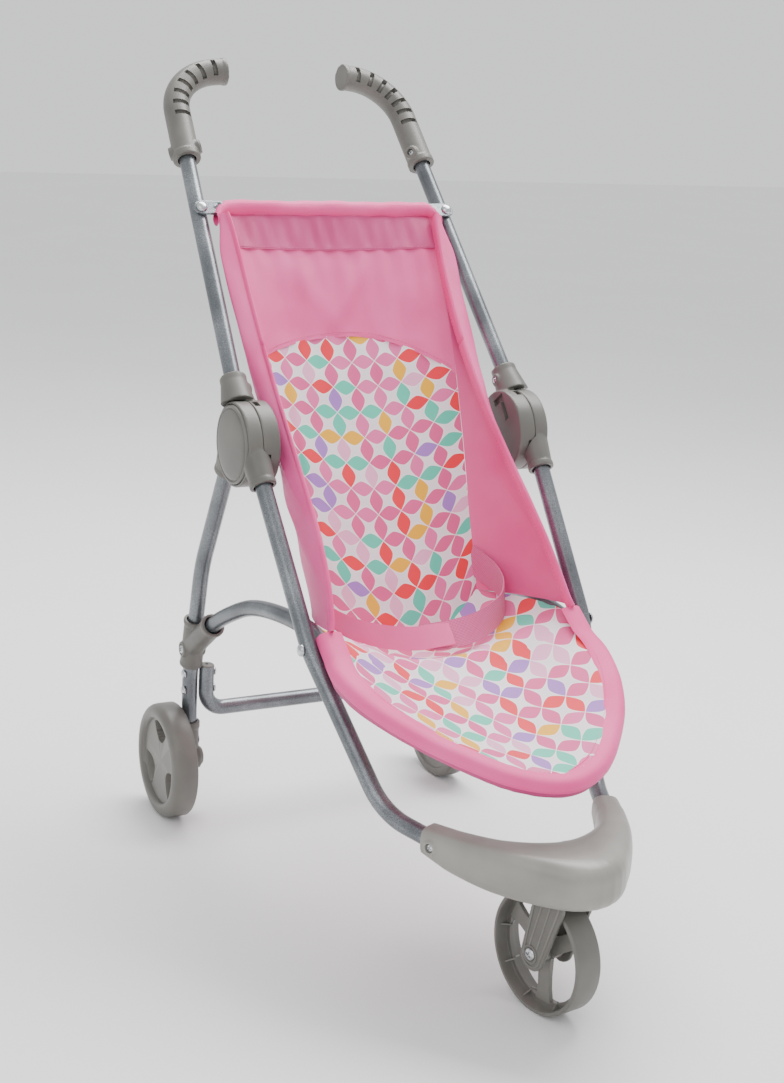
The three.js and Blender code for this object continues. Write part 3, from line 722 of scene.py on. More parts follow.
# plugs in the open ends of the lower crossbar
for word, s in SIDES:
    shape = bmesh.new()
    turned(shape, [
        (-3, 0), (-3, 5.9), (0, 5.9), (0, 6.9), (1, 6.8), (1.7, 5.8), (1.7, 1.5), (-1.5, 1.5), (-1.5, 0)],
        mm(s * 108.6, -4, 140.8), Z, 32)
    place(f"crossbar_plug_{word}", mesh_from(shape), ABS, "frame", "grey_plastic")

# %% [markdown]
# ## The fold hubs
#
# Each hub is two moulded drums face to face. The outer half belongs to the legs and carries two
# sockets; the inner half belongs to the handle and carries one. A round cap in the outer face is
# the push button. A half is melted from a drum, a socket with a thick lip, and a shoulder, and
# is then cut clear of the other half so that the fold can turn.

# %% Hub halves
HUB_Y, HUB_Z, HUB_R = -124, 374, 35
HUB_IN, HUB_MID, HUB_OUT, CAP_R = 112, 127, 139.5, 32.4


def drum(shape, s, x0, x1, radius, soft=0.0, sides=72):
    profile = [(x0, 0), (x0, radius - soft), (x0 + soft * 0.3, radius - soft * 0.3), (x0 + soft, radius),
               (x1 - soft, radius), (x1 - soft * 0.3, radius - soft * 0.3), (x1, radius - soft), (x1, 0)]
    if soft == 0:
        profile = [(x0, 0), (x0, radius), (x1, radius), (x1, 0)]
    turned(shape, profile, mm(0, HUB_Y, HUB_Z), X * s, sides)


def drum_mesh(s, x0, x1, radius, sides=72):
    shape = bmesh.new()
    drum(shape, s, x0, x1, radius, sides=sides)
    return mesh_from(shape)


def socket(shape, root, mouth, root_r=12.2, mouth_r=10.2):
    rod(shape, root, mouth, root_r, mouth_r)
    rod(shape, toward(mouth, root, 4.5), mouth, 11.2, 11.2)


def socket_hole(mouth, inward):
    shape = bmesh.new()
    rod(shape, toward(mouth, inward, 8), toward(mouth, inward, -2), 8.4)
    return mesh_from(shape)


for word, s in SIDES:
    top, knee = mm(s * 130, -166, 350), mm(s * 125.3, -255.4, 240.1)
    rear, elbow = mm(s * 129, -92.2, 351.5), mm(s * 126, -30, 244)
    arms = [(toward(start, end, root_at), toward(start, end, mouth_at))
            for start, end, root_at, mouth_at in ((top, knee, -26, 2), (rear, elbow, -14, 10))]
    shape = bmesh.new()
    drum(shape, s, HUB_MID, HUB_OUT, HUB_R, soft=0.8)
    for root, mouth in arms:
        socket(shape, root, mouth)
    half = melt(shape, 0.8, 5)
    half = carve(half, drum_mesh(s, 80, HUB_MID + 0.2, HUB_R + 0.6))
    half = carve(half, drum_mesh(s, HUB_OUT - 4, HUB_OUT + 4, CAP_R + 0.8, 96))
    half = carve(half, drum_mesh(s, HUB_MID - 2, HUB_OUT, 15))
    for root, mouth in arms:
        half = carve(half, socket_hole(mouth, root))
    place(f"hub_frame_shell_{word}", half, ABS, "frame", "grey_plastic")

    low, foot = upper_low(s), upper_foot(s)
    shape = bmesh.new()
    drum(shape, s, HUB_IN, HUB_MID, HUB_R, soft=0.8)
    root, mouth = toward(low, foot, -24), toward(low, foot, 2)
    socket(shape, root, mouth, 14.5, 10.2)
    boss_at = toward(low, foot, -10) - X * s * 9.5 * MM
    rod(shape, boss_at, boss_at - X * s * 3.6 * MM, 6.2, 5.4)
    half = melt(shape, 0.8, 5)
    half = carve(half, drum_mesh(s, HUB_MID - 0.2, 170, HUB_R + 0.6))
    half = carve(half, socket_hole(mouth, root))
    slots = bmesh.new()
    lie = basis(Y, Z, X * s)
    bent = [(3, 13), (21, 13), (21, 3), (27, 3), (27, 19), (3, 19)]
    for turn in (0, math.pi):
        spin = Matrix.Translation(mm(0, HUB_Y, HUB_Z)) @ Matrix.Rotation(turn + 0.9, 4, "X")
        plate(slots, bent, 6, spin @ Matrix.Translation((s * (HUB_IN - 3) * MM, 0, 0)) @ lie)
    half = carve(half, mesh_from(slots))
    # snap windows in the rim beside the parting line
    windows = bmesh.new()
    for turn in (100, 190, 350):
        spin = Matrix.Translation(mm(0, HUB_Y, HUB_Z)) @ Matrix.Rotation(math.radians(turn), 4, "X")
        box = [Vector((s * x * MM, y * MM, z * MM)) for x in (HUB_MID - 6.5, HUB_MID - 1.6)
               for y, z in ((31.5, -4.5), (38, -4.5), (38, 4.5), (31.5, 4.5))]
        block(windows, [spin @ corner for corner in box])
    half = carve(half, mesh_from(windows))
    place(f"hub_handle_shell_{word}", half, ABS, "handle", "grey_plastic")
    shape = bmesh.new()
    turned(shape, [(0, 0), (0, 2.6), (0.9, 2.3), (1.3, 1.2), (1.3, 0)], boss_at - X * s * 3.2 * MM,
           -X * s, 24)
    place(f"hub_socket_screw_{word}", mesh_from(shape), ZINC, "handle", "zinc_steel")

# %% [markdown]
# The cap is a shallow dome with a fine groove just inside its rim.

# %% Push caps
for word, s in SIDES:
    shape = bmesh.new()
    collar = [(-2.6, 0), (-2.6, 14), (-0.6, 14)]
    dome = [(rise, CAP_R - inset) for rise, inset in (
        (-0.6, 0), (0.9, 0), (1.5, 0.5), (1.7, 1.3), (1.65, 2.1), (1.0, 2.6), (1.0, 3.1), (1.9, 3.8),
        (2.4, 5.5), (2.9, 9), (3.3, 16), (3.5, 24), (3.5, CAP_R))]
    turned(shape, [(HUB_OUT + rise, radius) for rise, radius in collar + dome],
           mm(0, HUB_Y, HUB_Z), X * s, 96)
    place(f"hub_button_{word}", mesh_from(shape), ABS, f"button_{word}", "grey_plastic", sharp=50)

# %% [markdown]
# ## Grips
#
# A grip is a hollow ABS handle pushed over the tube and held by a screw through two bosses. Seven
# finger slots run across its outer side. The slots are cut by short bent rods, so that their ends
# are round like the real ones.

# %% Grips
for word, s in SIDES:
    foot, corner, end = upper_foot(s), mm(s * 110.3, 119.7, 658.5), mm(s * 58, 116.6, 662.6)
    spine = rounded([foot, corner, end], (46,), 24)
    shape = bmesh.new()
    shape.from_mesh(tube(evenly(spine, 40), 11.7, 32))
    rod(shape, toward(foot, corner, -1), toward(foot, corner, 5), 12.4)
    rod(shape, toward(end, corner, 3.5), end, 12.3)
    boss = foot.lerp(corner, 0.1)
    side = Vector((-0.75 * s, -0.65, 0))
    side = (side - (corner - foot).normalized() * side.dot((corner - foot).normalized())).normalized()
    for way in (-1, 1):
        rod(shape, boss, boss + side * way * 14.2 * MM, 6.8, 6.0)
    grip = melt(shape, 0.8, 4)
    mouth = bmesh.new()
    rod(mouth, toward(foot, corner, -3), toward(foot, corner, 7), 8.3)
    for way in (-1, 1):
        rod(mouth, boss + side * way * 12.4 * MM, boss + side * way * 17 * MM, 3.2)
    grip = carve(grip, mesh_from(mouth))
    places = evenly(spine, 101)
    slots = bmesh.new()
    for share in (33, 42, 51, 60, 69, 79, 90):
        here, run = places[share], (places[share + 1] - places[share - 1]).normalized()
        face = Vector((-0.15 * s, -0.85, 0.5))
        face = (face - run * face.dot(run)).normalized()
        wing = run.cross(face)
        arc = [here + (face * math.cos(a) + wing * math.sin(a)) * 10.4 * MM
               for a in (math.radians(d) for d in range(-42, 43, 7))]
        slots.from_mesh(tube(arc, 2.6, 16))
    grip = carve(grip, mesh_from(slots))
    place(f"grip_{word}", grip, ABS, "handle", "grey_plastic", sharp=45)
    screws = [head(boss + side * way * 12.3 * MM, side * way, 2.8, 1.0, True) for way in (-1, 1)]
    place(f"grip_screws_{word}", joined(screws), ZINC, "handle", "zinc_steel", sharp=45)

# %% [markdown]
# ## Rear wheels, axle brackets and Y brackets
#
# A rear wheel is one hollow moulding: a thick rounded rim, a web set back inside it and three lens
# shaped openings with deep walls. The rim is a spun profile and the openings are cut by plates.

# %% Rear wheels
WHEEL_R, WHEEL_X, WHEEL_W = 52.4, 132, 23
RIM_PROFILE = [(0, 0), (0, 12), (1.5, 13.5), (2.5, 14)] + [(x, WHEEL_R - inset) for x, inset in (
    (2.5, 10), (1.2, 8.5), (0, 8), (0, 2.4), (0.5, 0.9), (1.8, 0.1))] + [
    (WHEEL_W - x, WHEEL_R - inset) for x, inset in (
        (9, 0), (5.5, 0.5), (3, 1.7), (1.2, 3.8), (0.2, 6.6), (0, 9), (0.4, 11), (1.4, 12.6), (3, 13.4),
        (5, 13.7), (5.2, WHEEL_R))]
for word, s in SIDES:
    centre = mm(s * WHEEL_X, 0, WHEEL_R)
    shape = bmesh.new()
    turned(shape, RIM_PROFILE, centre, X * s, 120)
    wheel = mesh_from(shape)
    cutter = bmesh.new()
    lens = [(37.0 * math.cos(a), 37.0 * math.sin(a)) for a in (math.radians(d) for d in range(-26, 27, 4))]
    chord_x, chord_y = lens[-1]
    inner = [(chord_x - (chord_x - 17.5) * (1 - t * t), chord_y * t)
             for t in (x / 8 for x in range(7, -8, -1))]
    lie = basis(Y, Z, X)
    for i in range(3):
        turn = Matrix.Rotation(math.pi / 2 + i * math.tau / 3, 4, "X")
        start = Matrix.Translation(centre + X * (-40 * MM if s < 0 else -10 * MM))
        plate(cutter, lens + inner, 50, start @ turn @ lie)
    wheel = carve(wheel, mesh_from(cutter))
    wheel = soften_edges(wheel, 0.6, 45)
    place(f"rear_wheel_{word}", wheel, ABS, f"rear_wheel_{word}", "grey_plastic", sharp=50)

# %% Axle brackets and caps
for word, s in SIDES:
    shape = bmesh.new()
    rod(shape, mm(s * 122.5, 0, 50.4), mm(s * 122.9, 0, 88), 9.2)
    rod(shape, mm(s * 122.8, 0, 82), mm(s * 122.9, 0, 88.5), 10)
    rod(shape, mm(s * 113.6, 0, WHEEL_R), mm(s * 131.2, 0, WHEEL_R), 11.5)
    rod(shape, mm(s * 114, -2, 70), mm(s * 122, -2, 70), 4)
    bracket = melt(shape, 0.8, 4)
    hole = bmesh.new()
    rod(hole, mm(s * 122.85, 0, 80), mm(s * 122.95, 0, 92), 7.9)
    bracket = carve(bracket, mesh_from(hole))
    place(f"axle_bracket_{word}", bracket, ABS, "frame", "grey_plastic")
    shape = bmesh.new()
    turned(shape, [(0, 0), (0, 9), (1.2, 9), (2.6, 7.9), (3.5, 5.6), (3.7, 2.4), (3.7, 0)],
           mm(s * 113.2, 0, WHEEL_R), -X * s, 48)
    place(f"axle_cap_{word}", mesh_from(shape), ABS, "frame", "grey_plastic", sharp=50)

# %% Y brackets
for word, s in SIDES:
    ankle, elbow = rear_corners(s)[2], rear_corners(s)[1]
    low, high = ankle.lerp(elbow, 0.1), ankle.lerp(elbow, 0.52)
    root, mouth = ankle.lerp(elbow, 0.28), branch_mouth(s)
    shape = bmesh.new()
    rod(shape, low, high, 10.2)
    rod(shape, toward(high, low, 4), high, 11.0)
    rod(shape, low, toward(low, high, 3), 10.6)
    rod(shape, root, mouth, 10.6, 9.9)
    rod(shape, toward(mouth, root, 4), mouth, 10.9)
    hole_at = ankle.lerp(elbow, 0.25)
    rod(shape, hole_at - X * s * 10.4 * MM, hole_at + X * s * 11.2 * MM, 7.0)
    bracket = melt(shape, 0.8, 4)
    for end, inward in ((high, low), (mouth, root)):
        bracket = carve(bracket, socket_hole(end, inward))
    hole = bmesh.new()
    rod(hole, hole_at + X * s * 10.0 * MM, hole_at + X * s * 14 * MM, 4.8)
    bracket = carve(bracket, mesh_from(hole))
    place(f"y_bracket_{word}", bracket, ABS, "frame", "grey_plastic")

# %% [markdown]
# ## Nose, fork and front wheel
#
# The nose is one big moulding that swallows the ends of both front legs. Its skin is bridged
# over rounded sections along the bow and melted with the rings round its screws.

# %% Nose
NOSE = (
    (78.4, -376.4, 10.6, 116.4, 138.2), (72, -391, 11.2, 112, 139), (66, -404, 12, 109, 139.8),
    (50, -429, 15, 105, 141.2), (27, -450, 22, 103, 142.3), (0, -462, 31, 102.5, 142.5))


def nose_ring(shape, section, heading):
    x, y, half, low, top = section
    ring = []
    for i in range(40):
        angle = math.tau * i / 40
        c, n = math.cos(angle), math.sin(angle)
        wide = math.copysign(abs(c) ** 0.62, c) * half
        tall = math.copysign(abs(n) ** 0.62, n) * (top - low) / 2
        ring.append(shape.verts.new(mm(
            x + math.cos(heading) * wide, y + math.sin(heading) * wide, (low + top) / 2 + tall)))
    return [shape.edges.new((ring[i - 1], ring[i])) for i in range(40)]


def along_nose():
    sections = [(-x, *rest) for x, *rest in NOSE] + [tuple(section) for section in NOSE[-2::-1]]
    rows = [Vector(section[:3]) for section in sections]
    heights = [Vector((section[3], section[4], 0)) for section in sections]
    fine = []
    for i in range(len(rows) - 1):
        for step in range(6):
            t = step / 6
            weights = []
            for values in (rows, heights):
                p = [values[max(0, min(len(values) - 1, i + k))] for k in (-1, 0, 1, 2)]
                square = 2 * p[0] - 5 * p[1] + 4 * p[2] - p[3]
                cube = 3 * p[1] - p[0] - 3 * p[2] + p[3]
                weights.append(0.5 * (2 * p[1] + (p[2] - p[0]) * t + square * t * t + cube * t ** 3))
            fine.append((*weights[0], weights[1].x, weights[1].y))
    fine.append((*rows[-1], heights[-1].x, heights[-1].y))
    return fine


shape = bmesh.new()
nose_rows = along_nose()
rings = []
for i, section in enumerate(nose_rows):
    before, after = nose_rows[max(i - 1, 0)], nose_rows[min(i + 1, len(nose_rows) - 1)]
    heading = math.atan2(after[1] - before[1], after[0] - before[0]) - math.pi / 2
    rings.append(nose_ring(shape, section, heading))
for first, second in zip(rings, rings[1:]):
    bmesh.ops.bridge_loops(shape, edges=first + second)
for ring in (rings[0], rings[-1]):
    bmesh.ops.contextual_create(shape, geom=ring)
bmesh.ops.recalc_face_normals(shape, faces=shape.faces)
holes = bmesh.new()
for word, s in SIDES:
    enter, end = front_corners(s)[3], front_corners(s)[4]
    at_screw = toward(enter, end, 9)
    run = end - enter
    run.z = 0
    run.normalize()
    out = Vector((-run.y * s, run.x * s, 0))
    rod(shape, at_screw + out * 6 * MM, at_screw + out * 12.4 * MM, 6.2, 5.4)
    rod(holes, at_screw + out * 10.6 * MM, at_screw + out * 18 * MM, 3.7)
    rod(holes, toward(enter, end, -8), toward(enter, end, 4), 8.6)
    at_head = at_screw + out * 10.4 * MM
    place(f"nose_screw_{word}", head(at_head, out, 3.4, 1.3, True), ZINC, "frame", "zinc_steel")
nose = carve(melt(shape, 0.9, 5), mesh_from(holes, close=False))
hollow = bmesh.new()
rod(hollow, mm(0, -445.5, 95), mm(0, -445.5, 109.5), 12.4)
nose = carve(nose, mesh_from(hollow))
# The nose uses a lighter copy of the grey ABS: painted light, because its top faces the overhead lamp. Its
# roughness is also a little lower.
place("nose_housing", nose, moulded_abs("moulded_abs_satin_and_painted_light", "#83817a", "#93918a", (0.3, 0.4)),
      "frame", "grey_plastic", sharp=45)

# %% Caster frame of reference
YAW = math.radians(9)
caster = Matrix.Translation(mm(0, -445.5, 0)) @ Matrix.Rotation(YAW, 4, "Z")
FRONT_R, TRAIL = 48.2, 15


def on_caster(x, y, z):
    return caster @ Vector((x * MM, y * MM, z * MM))


# %% Fork: two cheeks with a raised rim and a keyhole groove round the bolt
wheel_axis = (on_caster(1, 0, 0) - on_caster(0, 0, 0)).normalized()
shape = bmesh.new()
NOSE_LOW = 102.5
cheek = [(-16, 101.5), (-16, 93)] + [
    (TRAIL - 1 + 12.8 * math.cos(a), FRONT_R + 12.8 * math.sin(a)) for a in
    (math.radians(d) for d in range(194, 356, 9))] + [(17, 93), (17, 101.5)]
lie = basis(Y, Z, X)
for x in (-15.6, 12.6):
    plate(shape, cheek, 3.0, caster @ Matrix.Translation((x * MM, 0, 0)) @ lie)
crown = [(-15.6, -16), (15.6, -16), (15.6, 17), (-15.6, 17)]
plate(shape, crown, 3.4, caster @ Matrix.Translation((0, 0, (NOSE_LOW - 4.4) * MM)))
rod(shape, on_caster(0, 0, NOSE_LOW - 2), on_caster(0, 0, NOSE_LOW + 6), 10)
fork = melt(shape, 0.7, 3)
ribs = bmesh.new()
for side in (-1, 1):
    x = side * 15.6
    rim = [on_caster(x, y, z) for y, z in
           [(-12.5, 97)] + [(TRAIL - 1 + 9.6 * math.cos(a), FRONT_R + 9.6 * math.sin(a)) for a in
                            (math.radians(d) for d in range(200, 350, 10))] + [(13.6, 97)]]
    ribs.from_mesh(tube(rim, 0.9, 12))
    for y in (-5.5, 3.0):
        ribs.from_mesh(tube([on_caster(x, y + 1.5, 98), on_caster(x, y + 13.5, FRONT_R + 7)], 0.8, 12))
    ring = [on_caster(x, TRAIL + 6.6 * math.cos(a), FRONT_R + 6.6 * math.sin(a)) for a in
            (math.tau * i / 32 for i in range(33))]
    ribs.from_mesh(tube(ring, 1.1, 12))
fork = joined([fork, mesh_from(ribs, close=False)])
place("front_fork", fork, ABS, "caster", "grey_plastic", sharp=45)
bolt = [head(on_caster(side * 15.4, TRAIL, FRONT_R), wheel_axis * side, 5, 2.6, True) for side in (-1, 1)]
place("front_axle", joined(bolt), ZINC, "caster", "zinc_steel", sharp=45)

# %% Front wheel: a thin rim, an inner step, wide flat spokes and small ribs
shape = bmesh.new()
hub_at = on_caster(0, TRAIL, FRONT_R)
r, h = FRONT_R, 11.4
turned(shape, [
    (-h, r - 3.2), (-h, r - 1.1), (-h + 0.5, r - 0.3), (-h + 1.3, r), (h - 1.3, r), (h - 0.5, r - 0.3),
    (h, r - 1.1), (h, r - 3.2), (2.2, r - 4.2), (1.6, r - 4.8), (1.6, r - 8), (-1.6, r - 8),
    (-1.6, r - 4.8), (-2.2, r - 4.2), (-h, r - 3.2)], hub_at, wheel_axis, 112)
turned(shape, [(-11, 0), (-11, 7.6), (-10.2, 8.4), (10.2, 8.4), (11, 7.6), (11, 0)], hub_at, wheel_axis, 48)
for i in range(3):
    turn = Matrix.Rotation(math.pi * (0.31 + i * 2 / 3), 4, "X")
    spoke = [(-7.5, 5), (7.5, 5), (6.2, 20), (6.2, 30), (8, r - 7), (-8, r - 7), (-6.2, 30), (-6.2, 20)]
    start = caster @ Matrix.Translation((0, TRAIL * MM, FRONT_R * MM)) @ turn
    plate(shape, spoke, 3.4, start @ Matrix.Translation((-1.7 * MM, 0, 0)) @ lie)
    for k in (0.18, 0.5, 0.82):
        rib_turn = Matrix.Rotation(math.pi * (0.31 + (i + k) * 2 / 3), 4, "X")
        rib = [(0, r - 9), (7.5, r - 4), (0, r - 3.6)]
        stand = basis(X, Z, -Y)
        for way in (-1, 1):
            flip = Matrix.Rotation(0 if way > 0 else math.pi, 4, "Z")
            plate(shape, rib, 1.2, start @ turn.inverted() @ rib_turn @ flip @ stand)
place("front_wheel", mesh_from(shape), ABS, "front_wheel", "grey_plastic", sharp=40)

# %% [markdown]
# ## The sling
#
# The sling is sewn from flat pieces: a back with a plain top and a printed lower part, a seat,
# two side wings and bound edges. A cloth piece starts as a grid whose points are moved by a
# function of two shares, across and along.

# %% Cloth from a grid
CLOTH_T = 0.7


def ripple(point, size, depth):
    """A smooth bump between -depth and depth, the same on every run."""
    return depth * noise.noise(point * per_mm(size))


def cloth(name, cells, at, flat_at, coat, rides, slot, stands_for=(),
          thick=CLOTH_T, crumple=0.0):
    across_cells, along_cells = cells
    shape = bmesh.new()
    bmesh.ops.create_grid(shape, x_segments=across_cells, y_segments=along_cells, size=0.5)
    uv = shape.loops.layers.uv.new("cloth")
    shares = {vert: tuple(min(max(part + 0.5, 0), 1) for part in vert.co[:2]) for vert in shape.verts}
    for face in shape.faces:
        for loop in face.loops:
            x, y = flat_at(*shares[loop.vert])
            loop[uv].uv = (x * MM, y * MM)
    for vert, share in shares.items():
        vert.co = at(*share)
    if crumple:
        shape.normal_update()
        moves = {vert: vert.normal * ripple(vert.co, 34, crumple * MM) for vert in shape.verts}
        for vert, move in moves.items():
            share = shares[vert]
            edge = min(1, 8 * min(share[0], 1 - share[0], share[1], 1 - share[1]))
            vert.co += move * edge
    area = sum(face.calc_area() for face in shape.faces)
    mesh = bpy.data.meshes.new(name)
    shape.to_mesh(mesh)
    shape.free()

    def thicken(helper):
        step = helper.modifiers.new("cloth", "SOLIDIFY")
        step.thickness = thick * MM
        step.offset = 0
    mesh = with_modifiers(mesh, thicken)
    piece = place(name, mesh, coat, rides, slot, stands_for, sharp=60)
    stops = [i / 60 for i in range(61)]
    width = max(run_length([at(a, b) for a in stops]) for b in (0, 0.25, 0.5, 0.75, 1))
    length = max(run_length([at(a, b) for b in stops]) for a in (0, 0.25, 0.5, 0.75, 1))
    area = min(area, width * length)
    print(name, "cut", round(width * 1000), "x", round(length * 1000), "mm")
    return piece


def between(table, x):
    """Straight-line value from a table of (x, value)."""
    for (x0, v0), (x1, v1) in zip(table, table[1:]):
        if (x - x0) * (x - x1) <= 0:
            return v0 + (v1 - v0) * (x - x0) / (x1 - x0)
    return table[0][1] if abs(x - table[0][0]) < abs(x - table[-1][0]) else table[-1][1]


def ease(t):
    t = min(max(t, 0), 1)
    return t * t * (3 - 2 * t)


def bend_with_handle(piece):
    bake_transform(piece)


# %% [markdown]
# The back leans like the handle. Its side seams come forwards of the middle, so its section is
# a shallow trough, and its foot hangs lower in the middle than at the seams.

# %% Shape of the back
BACK_TOP_Z, SEAM_FOOT_Z, FOOT_SAG, ARCH_TOP_Z = 545, 243, 40, 447
BACK_HALF = ((243, 76), (302, 80), (360, 86), (430, 92.5), (545, 99))


def back_point(u, v, lift=0.0):
    """u from -1 to 1 across, v from 0 at the bar to 1 at the crease, lift towards the child."""
    fall = BACK_TOP_Z - SEAM_FOOT_Z + FOOT_SAG * (1 - u * u)
    z = BACK_TOP_Z - v * fall
    seam_z = BACK_TOP_Z - v * (BACK_TOP_Z - SEAM_FOOT_Z)
    y = -7 + (z - 519) * 0.545
    y -= 14 * abs(u) ** 3.2 * math.sin(math.pi * v ** 0.8) ** 0.7 + 5 * u * u * v ** 4
    y += 7 * (1 - u * u) * math.sin(math.pi * v)
    x = u * between(BACK_HALF, seam_z)
    return mm(x, y - lift * 0.88, z + lift * 0.47)


def back_flat(u, v):
    seam_z = BACK_TOP_Z - v * (BACK_TOP_Z - SEAM_FOOT_Z)
    return u * between(BACK_HALF, seam_z), -v * 375


def arch_share(u):
    """Where the print begins, as an arch that is highest in the middle."""
    x = u * 93
    z = ARCH_TOP_Z - (0.0034 if x > 0 else 0.0015) * x * x
    return (BACK_TOP_Z - z) / (BACK_TOP_Z - SEAM_FOOT_Z + FOOT_SAG * (1 - u * u))


HEM_SHARE = 0.085


def upper_back(a, b):
    u = a * 2 - 1
    v = HEM_SHARE * 0.9 + (arch_share(u) + 0.004 - HEM_SHARE * 0.9) * b
    gather = math.sin(u * 31) * 0.9 * (1 - b) ** 2 + math.sin(u * 17 + 1) * 0.8 * b ** 3
    pull = 2.4 * math.exp(-((u - 0.35 + 0.5 * b) / 0.09) ** 2) * math.sin(math.pi * b)
    pull += 1.8 * math.exp(-((u + 0.5 - 0.4 * b) / 0.12) ** 2) * math.sin(math.pi * b)
    return back_point(u, v, 0.2 + gather + pull)


def upper_flat(a, b):
    u = a * 2 - 1
    return back_flat(u, HEM_SHARE + (arch_share(u) - HEM_SHARE) * b)


def lower_back(a, b):
    u = a * 2 - 1
    v = arch_share(u) + (1.0 - arch_share(u)) * b
    crease = 2.0 * math.exp(-((u + 0.8) / 0.05) ** 2) * math.sin(math.pi * b)
    pucker = math.sin(u * 23) * 0.5 * (1 - b) ** 4 + math.sin(u * 9 + b * 6) * 0.6 * b
    return back_point(u, v, -0.4 - crease + pucker)


def lower_flat(a, b):
    u = a * 2 - 1
    return back_flat(u, arch_share(u) + (1 - arch_share(u)) * b)


back_top = cloth("back_upper", (90, 46), upper_back, upper_flat, PINK, None, "pink_nylon",
                 crumple=1.2)
back_low = cloth("back_printed", (90, 90), lower_back, lower_flat, PRINT, None, "print_cloth",
                 ["back_panel"], crumple=0.9)
for piece in (back_top, back_low):
    bend_with_handle(piece)

# %% [markdown]
# The top edge is rolled round the bar into a sleeve, and the spare cloth below it is stitched
# down as a doubled, gathered band. Both turn with the handle.

# %% Hem sleeve and hem band
def hem_sleeve(a, b):
    """a once round the bar, b from right to left; the ends turn down as rounded corners."""
    x = (b * 2 - 1) * 110
    corner = max(0, abs(x) - 96) / 14
    drop = 12 * corner * corner
    angle = math.tau * a
    radius = 6.5 + 0.35 * math.sin(x * 0.21) + 0.3 * math.sin(x * 0.083 + 2 * angle) - 0.9 * corner
    return on_bar(x - 1.2 * corner * math.copysign(1, x), radius * math.cos(angle),
                  radius * math.sin(angle) - drop)


def hem_band(a, b):
    u = a * 2 - 1
    v = HEM_SHARE * b
    folds = 0.9 * math.sin(u * 26 + 2.2 * math.sin(u * 5)) * math.sin(math.pi * min(b * 1.1, 1)) ** 0.6
    folds += 0.7 * math.sin(u * 47 + 1) * b * (1 - b) * 3
    return back_point(u * 0.998, v, 1.4 + folds)


cloth("hem_sleeve", (28, 90), hem_sleeve, lambda a, b: (a * 41, b * 202), BINDING, "handle", "pink_nylon",
      crumple=0.4)
cloth("hem_band", (110, 16), hem_band, lambda a, b: (a * 200, b * 30), PINK_DEEP, "handle",
      "pink_nylon", ["top_hem"], crumple=0.5)

# %% [markdown]
# A wing is a long triangle between the back's side seam and its own bound front edge.

# %% Wings
def wing_front(s, v):
    top, foot = mm(s * 101.5, -4, 548), mm(s * 110, -262, 255)
    point = top.lerp(foot, v)
    inward = 9.5 * max(math.sin(math.pi * v), 0) ** 0.6
    back = 17 * math.sin(math.pi * min(v / 0.7, 1)) - 7 * math.sin(math.pi * max(0, (v - 0.7) / 0.3))
    point += Vector((-s * inward, back, 0)) * MM
    return point


def wing_point(s, a, b):
    """a from the seam to the front edge, b from the bar to the seat."""
    seam = back_point(s, b)
    point = seam.lerp(wing_front(s, b), a)
    belly = max(math.sin(math.pi * a), 0) ** 0.7
    out = belly * (8 + 8 * ease(b / 0.12) - 4 * ease((b - 0.3) / 0.3) - 2.5 * ease((b - 0.85) / 0.15))
    fold = 1.8 * math.exp(-((b - 0.6 - 0.3 * a) / 0.035) ** 2) * math.sin(math.pi * a)
    fold += 1.4 * math.exp(-((b - 0.28 - 0.5 * a) / 0.03) ** 2) * math.sin(math.pi * a)
    point.x += s * (out + fold) * MM
    return point


for word, s in SIDES:
    wing = cloth(f"wing_cloth_{word}", (30, 110), lambda a, b, s=s: wing_point(s, a, b),
                     lambda a, b, s=s: (s * (100 + a * 90 * b), -b * 380), PINK, None, "pink_nylon",
                     [f"wing_{word}"], crumple=1.6)
    bend_with_handle(wing)

# %% [markdown]
# ## The seat
#
# The seat hangs inside the loop. Its edge follows the wings' feet and then the tube, and its
# middle sags: deep in a pocket at the crease, less towards the front edge.

# %% Shape of the seat
loop_line = [point for point in threaded(
    [loop_point(x, along) for x, along in LOOP_HALF] + [loop_point(0, LOOP_TIP)]
    + [loop_point(-x, along) for x, along in LOOP_HALF[::-1]], 161)]
loop_half_line = loop_line[:81]


def row_y(point):
    return (point.y - AXLE_Y) * 1000


def loop_half_at(y):
    table = [(row_y(point), point.x * 1000) for point in loop_half_line]
    return between(table, y)


INSET = 4.0
SEAT_EDGE_Z = (
    (-163, 243), (-212, 247), (-258, 249.5), (-270, 242), (-285, 235), (-300, 232), (-380, 205.5),
    (-445, 184))
SEAT_SAG = ((-163, 38), (-185, 44), (-205, 41), (-230, 37), (-262, 40), (-285, 30), (-300, 28), (-340, 24),
            (-380, 15), (-415, 6), (-432, 0))
WING_FOOT_X = ((-163, 76), (-190, 92), (-212, 101), (-240, 107), (-262, 109))
SEAT_TIP_Y = -431


def smooth_table(table, x, width=12):
    return sum(between(table, x + d) for d in (-width, -width / 2, 0, width / 2, width)) / 5


def seat_point(u, v):
    """u from -1 to 1 across, v from 0 at the crease to 1 at the front edge."""
    y = -163 + (SEAT_TIP_Y + 163) * math.sin(v * math.pi / 2)
    if y > -262:
        share = min(max((-163 - y) / 99, 0), 1)
        half = 75.5 + 32.5 * share + 9.5 * math.sin(math.pi * share)
    else:
        half = max(loop_half_at(y) - INSET, 0)
        half += (109 - loop_half_at(-262) + INSET) * max(0, 1 + (y + 262) / 30)
    sag = smooth_table(SEAT_SAG, y) * (1 - u * u) ** 1.15
    z = smooth_table(SEAT_EDGE_Z, y) - sag
    z += 1.2 * math.sin(u * 5 + 1) * math.sin(v * 9) * (1 - u * u)
    y_here = y - 19 * (1 - u * u) * (1 - v) ** 3
    ridge = 5.0 * math.exp(-((y + 236 + 12 * u) / 14) ** 2) * (1 - u * u)
    return mm(u * half, y_here, z + ridge)


